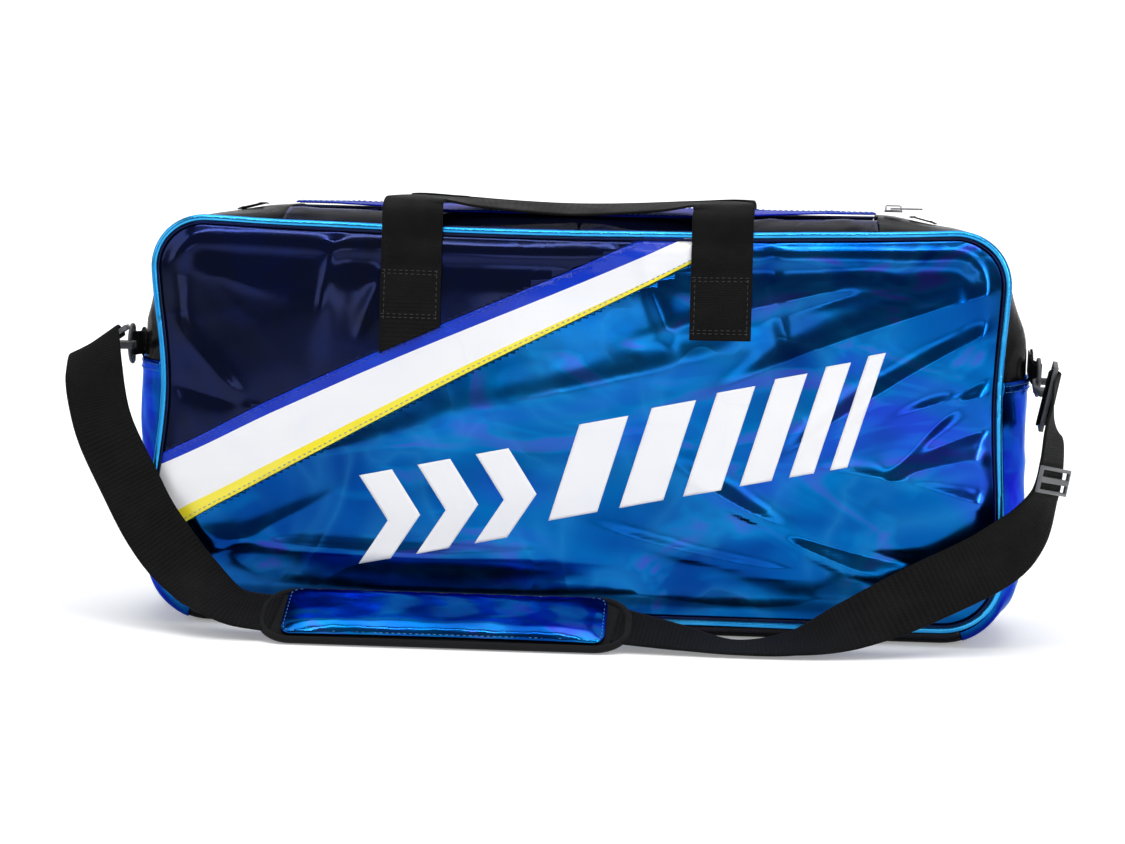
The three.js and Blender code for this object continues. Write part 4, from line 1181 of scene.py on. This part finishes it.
for name, side in (("front", -1), ("rear", 1)):
    bm = ribbonForm(handleRoute(side), handle["width"], handle["wall"], 260)
    if side < 0:  # the left leg is sewn in under the band
        leg = [f for f in bm.faces if f.calc_center_median().x < -0.05 and f.calc_center_median().y < -0.09]
        parts = list({v for f in leg for v in f.verts}) + list({e for f in leg for e in f.edges}) + leg
        height, slope = bandLines["royalTop"]
        bmesh.ops.bisect_plane(bm, geom=parts, dist=1e-7, plane_co=(0, 0, height - 0.002),
                               plane_no=(-slope, 0, 1), clear_inner=True)
        bmesh.ops.holes_fill(bm, edges=bm.edges[:], sides=0)
    for vert in bm.verts:
        vert.co = onBag(vert.co, side)
    parts = [f"{name}_handle_{part}" for part in ("leg_left", "leg_right", "loop")]
    handlePiece = makePiece(name + "Handle", bm, blackWebbing, None, parts, "webbing")
    start = (0, side * 0.100, bag["topZ"] - 0.004)
    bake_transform(handlePiece)

    def legSpot(x, z):
        face = bag["face"] + 0.0005 + handle["wall"] + 0.0002
        return onBag(Vector((x, side * face, z)), side)

    rows = []
    for legX in (-handle["spacing"] / 2, handle["spacing"] / 2):
        middle = legX + handle["middle"]
        low = handle["foot"] + 0.006
        if side < 0 and legX < 0:
            low = lineHeight("royalTop", middle) + 0.018
        for z in (low, low + 0.003, bag["topZ"] - 0.038, bag["topZ"] - 0.035):
            rows.append([legSpot(mix(middle - 0.0225, middle + 0.0225, k / 12), z) for k in range(13)])
        for x in (middle - 0.0215, middle + 0.0215):
            rows.append([legSpot(x, mix(low, bag["topZ"] - 0.035, k / 10)) for k in range(11)])
    outward = Vector((0, side, 0))
    stitchPiece(name + "HandleStitches", [(points, [outward] * len(points)) for points in rows], blackThread)
print("handles made")

# strap fittings at the two ends

fitting = {
    "pivotHeight": 0.228,
    "standOff": 0.0006,
    "ringBar": 0.023,
    "ringOut": 0.0064,
    "tabWidth": 0.020,
    "hookBar": 0.071,  # middle of the bar that the strap turns round, from the pivot
    "wrap": 0.0044,  # the strap's middle line, from the bar's
    "leftOut": 0.026,
    "leftRoll": math.radians(35),
    "rightOut": 0.012,
    "rightRoll": math.radians(81),
    "rightDroop": math.radians(20),
}


def fittingPlace(side, droop):  # forward, outward and upward from the pivot
    c, s = math.cos(droop), math.sin(droop)
    turn = Matrix(((0, -c, -s), (side, 0, 0), (0, -side * s, side * c))).transposed().to_4x4()
    out = bag["halfLength"] + bag["endBulge"] + fitting["standOff"]
    turn.translation = (side * out, 0, fitting["pivotHeight"])
    return turn


for name, side, droop in (("left", -1, 0.0), ("right", 1, fitting["rightDroop"])):
    place = fittingPlace(side, droop)
    p, q = fitting["ringBar"], fitting["ringOut"]
    wrap = 0.0031  # the tab's turn round the ring's bar
    path = [(-0.006, 0.0006), (0.004, 0.0006), (0.0125, 0.0010)]
    turns = (-1.75, -1.1, -0.4, 0.4, 1.1, 1.8, 2.4)
    path += [(p + wrap * math.cos(a), q + wrap * math.sin(a)) for a in turns]
    path += [(0.0135, 0.0022), (0.011, 0.0019), (0.002, 0.0017)]
    upward = place.to_3x3() @ Vector((0, 0, 1))
    tab = ribbonForm([(place @ Vector((a, b, 0)), upward) for a, b in path], fitting["tabWidth"], 0.0010, 60)
    makePiece(name + "RingTab", tab, tabWebbing, "strap", [name + "_ring_tab"], "webbing")
    softenedCopy(name + "_strap_anchor", name + "StrapAnchor", blackSheet, 0.0005, slot="black_sheet")
    softenedCopy(name + "_d_ring", name + "DRing", greyPlastic, 0, slot="hook_plastic", levels=1)
    softenedCopy(name + "_hook", name + "Hook", greyPlastic, 0.0008, slot="hook_plastic")
    softenedCopy(name + "_hook_gate", name + "HookGate", darkMetal, 0.0005, slot="zip_metal")
    level = fittingPlace(side, 0.0)
    circle = [2 * math.pi * k / 26 for k in range(27)]
    spots = [level @ Vector((0.0102 * math.cos(a), 0.0037, 0.0102 * math.sin(a))) for a in circle]
    stitchPiece(name + "AnchorStitches", [(spots, [Vector((side, 0, 0))] * len(spots))], blackThread,
                length=0.0018, gap=0.0009)
softenedCopy("strap_adjuster", "strapAdjuster", greyPlastic, 0.0007, slot="hook_plastic")
print("fittings made")

# shoulder strap and pad

strap = {"width": 0.050, "wall": 0.0022}
pad = {
    "length": 0.300,
    "width": 0.070,
    "corner": 0.028,
    "baseWall": 0.005,
    "coverLength": 0.262,
    "coverWidth": 0.062,
    "coverCorner": 0.010,
    "coverWall": 0.0085,
    "middle": -0.097,
    "out": bag["halfDepth"] + 0.055,
    "lift": 0.016,
    "tilt": math.radians(26),
}


def barLoop(side, droop, out, rollAngle, flip, outer):
    # the strap's turn round the hook's bar, from its inner layer to its outer one
    place = fittingPlace(side, droop)
    bar = place @ Vector((fitting["hookBar"], out, 0))
    turn = place.to_3x3()
    along = (turn @ Vector((0, math.cos(rollAngle), math.sin(rollAngle)))) * flip
    forward = turn @ Vector((1, 0, 0))
    normal = along.cross(forward).normalized() * outer
    spots = []
    for degrees in (-90, -135, -180, -225, -270):
        a = math.radians(degrees)
        away = forward * math.cos(a) + normal * math.sin(a)
        spots.append((bar + away * fitting["wrap"], along))
    return spots


def frontSpot(x, y, z, wide):
    return (Vector((x, y, z)), Vector(wide))


half, front, pivot = bag["halfLength"], -bag["halfDepth"], fitting["pivotHeight"]
endX = half + bag["endBulge"]
padWide = (0, math.cos(pad["tilt"]), math.sin(pad["tilt"]))
padRise = pad["baseWall"] / 2 + 0.0005


def padEnd(side):
    x = pad["middle"] + side * (pad["length"] / 2 - 0.012)
    y = -pad["out"] - padRise * math.sin(pad["tilt"])
    return frontSpot(x, y, pad["lift"] + padRise * math.cos(pad["tilt"]), padWide)


leftRun = [
    frontSpot(-endX - 0.026, front + 0.005, pivot - 0.016, (0.92, 0, 0.38)),
    frontSpot(-endX - 0.023, front, pivot - 0.036, (1, 0, 0.1)),
    frontSpot(-endX - 0.015, front - 0.003, pivot - 0.066, (1, 0, 0.1)),
    frontSpot(-half - 0.016, front - 0.012, 0.119, (0.95, 0.05, 0.3)),
    frontSpot(-half + 0.007, front - 0.024, 0.083, (0.8, 0.15, 0.58)),
    frontSpot(-half + 0.040, front - 0.038, 0.048, (0.5, 0.6, 0.6)),
    frontSpot(pad["middle"] - pad["length"] / 2 - 0.028, -pad["out"] + 0.001, 0.025, (0.1, 0.9, 0.42)),
    padEnd(-1),
]
rightRun = [
    padEnd(1),
    frontSpot(pad["middle"] + pad["length"] / 2 + 0.038, -pad["out"] - 0.003, 0.011, (0, 0.96, 0.25)),
    frontSpot(pad["middle"] + pad["length"] / 2 + 0.085, -pad["out"] - 0.005, 0.0045, (0, 1, 0.05)),
    frontSpot(half - 0.168, -pad["out"] - 0.004, 0.009, (-0.1, 0.97, 0.2)),
    frontSpot(half - 0.125, -pad["out"], 0.023, (-0.2, 0.75, 0.62)),
    frontSpot(half - 0.058, front - 0.042, 0.053, (-0.35, 0.25, 0.9)),
    frontSpot(half - 0.006, front - 0.028, 0.079, (-0.6, 0, 0.8)),
    frontSpot(half + 0.018, front - 0.016, 0.099, (-0.7, -0.5, 0.5)),
    frontSpot(endX + 0.009, front - 0.009, 0.128, (-0.5, -0.84, 0.2)),
    frontSpot(endX + 0.014, front - 0.007, pivot - 0.074, (-0.45, -0.88, 0.15)),
    frontSpot(endX + 0.015, front - 0.002, pivot - 0.044, (-0.25, -0.6, 0.75)),
    frontSpot(endX + 0.014, front + 0.007, pivot - 0.031, (-0.02, -0.4, 0.9)),
]
leftLoop = barLoop(-1, 0.0, fitting["leftOut"], fitting["leftRoll"], -1, -1)
rightLoop = barLoop(1, fitting["rightDroop"], fitting["rightOut"], fitting["rightRoll"], 1, 1)
leftStrap = ribbonForm(leftLoop + leftRun, strap["width"], strap["wall"], 220)
makePiece("leftStrap", leftStrap, blackWebbing, "strap", ["strap_webbing_left"], "webbing")
rightStrap = ribbonForm(rightRun + list(reversed(rightLoop)), strap["width"], strap["wall"], 300)
makePiece("rightStrap", rightStrap, blackWebbing, "strap", ["strap_webbing_right"], "webbing")

padPlace = Matrix.Translation((pad["middle"], -pad["out"], pad["lift"]))
padPlace = padPlace @ Matrix.Rotation(pad["tilt"], 4, "X")


def roundedReach(t, length, width, corner):  # half width at a share along a rounded slab
    fromEnd = (1 - abs(t)) * length / 2
    if fromEnd > corner:
        return width / 2
    return width / 2 - corner + math.sqrt(max(0, corner ** 2 - (corner - fromEnd) ** 2))


def padForm(length, width, corner, low, high, crown, seed, pull=0.0):
    # a crowned slab: its top swells between pulled-down edges, and its back is flat
    def stop(u):
        return math.sin((u - 0.5) * math.pi) * 0.6 + (u - 0.5) * 0.8

    def place(u, v):
        t = min(1, max(-1, stop(u)))
        b = 2 * v - 1
        half = roundedReach(t, length, width, corner) - pull * (1 - t * t) * abs(b) ** 3
        a = t * length / 2
        swell = (1 - abs(t) ** 7) * (1 - abs(b) ** 5)
        puckers = 0.0005 * math.sin(a * 310) * abs(b) ** 6
        puckers += 0.0007 * noise.noise(Vector((a * 22, b * 2.2, seed)))
        top = mix(low, high, crown + (1 - crown) * swell)
        return Vector((a, b * half, top + puckers * min(1, 3 * swell)))

    bm = gridForm(150, 36, place, length, width)
    rim = [e for e in bm.edges if e.is_boundary]
    grown = bmesh.ops.extrude_edge_only(bm, edges=rim)["geom"]
    for vert in [g for g in grown if isinstance(g, bmesh.types.BMVert)]:
        vert.co.z = low
    bmesh.ops.remove_doubles(bm, verts=bm.verts[:], dist=1e-6)
    bmesh.ops.holes_fill(bm, edges=[e for e in bm.edges if e.is_boundary], sides=0)
    bmesh.ops.recalc_face_normals(bm, faces=bm.faces[:])
    bm.transform(padPlace)
    return bm


base = padForm(pad["length"], pad["width"], pad["corner"], 0.0, pad["baseWall"], 0.4, 2.0)
basePiece = makePiece("padBase", base, padCloth, "strap", ["pad_base"], "pad_backing")
coverLow = pad["baseWall"] + 0.0002
cover = padForm(pad["coverLength"], pad["coverWidth"], pad["coverCorner"], coverLow,
                coverLow + pad["coverWall"], 0.3, 5.0, 0.0015)
coverPiece = makePiece("padCover", cover, blueSheet, "strap", ["pad_cover"], "blue_sheet")


def padOutline(length, width, corner, height, inset):
    points, turns = [], 50
    l, w = length / 2 - inset, width / 2 - inset
    r = max(0.002, corner - inset)
    arcs = [(1, 1, 0), (-1, 1, 1), (-1, -1, 2), (1, -1, 3)]
    for sx, sy, start in arcs:
        for k in range(turns + 1):
            a = (start + k / turns) * math.pi / 2
            points.append(Vector((sx * (l - r) + r * math.cos(a), sy * (w - r) + r * math.sin(a), height)))
    spread = []
    for p, q in zip(points, points[1:] + points[:1]):
        steps = max(1, int((q - p).length / 0.004))
        spread += [p.lerp(q, k / steps) for k in range(steps)]
    return spread


binding = [padPlace @ p for p in padOutline(pad["length"], pad["width"], pad["corner"], 0.0026, 0.0012)]
makePiece("padBinding", tubeForm(binding, 0.0030, 10, True), padCloth, "strap", (), "pad_backing")
stitchLine = padOutline(pad["coverLength"], pad["coverWidth"], pad["coverCorner"], coverLow + 0.0032, 0.0022)
up = padPlace.to_3x3() @ Vector((0, 0, 1))
stitchPiece("padStitches", [([padPlace @ p for p in stitchLine], [up] * len(stitchLine))], skyThread, "strap")
print("strap and pad made")

# studio


def stageFinish():
    look = {"Base Color": (0.88, 0.88, 0.88), "Roughness": 0.85, "Emission Color": (1, 1, 1),
            "Emission Strength": 0.25}
    finish, shader, body = newFinish("paperFloor", look)
    fibres = shader.noise(objectPlace(shader), 60.0, 4.0)
    shader.feed(body.inputs["Normal"], shader.bump(fibres, 0.02, 0.001))
    return finish


studio = {"floorSize": 40.0, "wallDistance": 3.8, "wallHeight": 4.0, "worldGrey": 0.2}
bm = bmesh.new()
bmesh.ops.create_grid(bm, x_segments=2, y_segments=2, size=studio["floorSize"] / 2)
for vert in bm.verts:
    vert.co.y += studio["wallDistance"] - studio["floorSize"] / 2
    vert.co.z -= 0.0005
wallEdges = [e for e in bm.edges if all(v.co.y > studio["wallDistance"] - 0.01 for v in e.verts)]
grown = bmesh.ops.extrude_edge_only(bm, edges=wallEdges)["geom"]
for vert in [g for g in grown if isinstance(g, bmesh.types.BMVert)]:
    vert.co.z += studio["wallHeight"]
foot = [v for v in bm.verts if abs(v.co.y - studio["wallDistance"]) < 0.01 and v.co.z < 0.01]
bend = [e for e in bm.edges if all(v in foot for v in e.verts)]
bmesh.ops.bevel(bm, geom=bend, offset=1.0, segments=12, profile=0.5, affect="EDGES", material=-1)
backdrop = makePiece("paperSweep", bm, stageFinish())

bpy.context.scene.view_settings.view_transform = "Standard"
world = bpy.data.worlds.new("studio")
bpy.context.scene.world = world
world.use_nodes = True
world.node_tree.nodes["Background"].inputs["Color"].default_value = (0.97, 0.98, 1.0, 1)
world.node_tree.nodes["Background"].inputs["Strength"].default_value = studio["worldGrey"]


def addLight(name, place, target, size, power):
    data = bpy.data.lights.new(name, "AREA")
    data.shape = "RECTANGLE"
    data.size, data.size_y = size
    data.energy = power
    lamp = bpy.data.objects.new(name, data)
    bpy.context.scene.collection.objects.link(lamp)
    lamp.location = place
    lamp.rotation_euler = (Vector(target) - Vector(place)).to_track_quat("-Z", "Y").to_euler()


addLight("overhead", (0, -0.2, 2.4), (0, 0.1, 0), (2.6, 1.6), 34)
addLight("leftBank", (-2.2, -1.4, 1.3), (0, 0, 0.15), (1.2, 1.8), 15)
addLight("rightBank", (2.0, -1.8, 1.1), (0, 0, 0.15), (0.9, 1.8), 15)
addLight("lowFront", (0.5, -2.6, 0.35), (0, 0, 0.1), (1.8, 0.35), 4)
addLight("topStrip", (0.2, -1.3, 1.9), (0.1, 0, 0.2), (2.6, 0.07), 12)
addLight("sideStrip", (1.9, -2.0, 0.9), (0.1, 0, 0.15), (0.07, 1.3), 8)
addLight("wallWash", (0, 1.9, 2.7), (0, 3.8, 0.8), (4.4, 1.0), 85)

view = {"place": (0.1645, -2.4, 0.40), "target": (-0.0145, -0.0178, 0.1695), "lens": 90.4, "roll": 0.02}
cameraData = bpy.data.cameras.new("camera")
cameraData.sensor_width = 36
cameraData.lens = view["lens"]
camera = bpy.data.objects.new("camera", cameraData)
bpy.context.scene.collection.objects.link(camera)
camera.location = view["place"]
aim = (Vector(view["target"]) - Vector(view["place"])).to_track_quat("-Z", "Y").to_matrix()
camera.rotation_euler = (aim @ Matrix.Rotation(view["roll"], 3, "Z")).to_euler()
bpy.context.scene.camera = camera

print("studio ready")
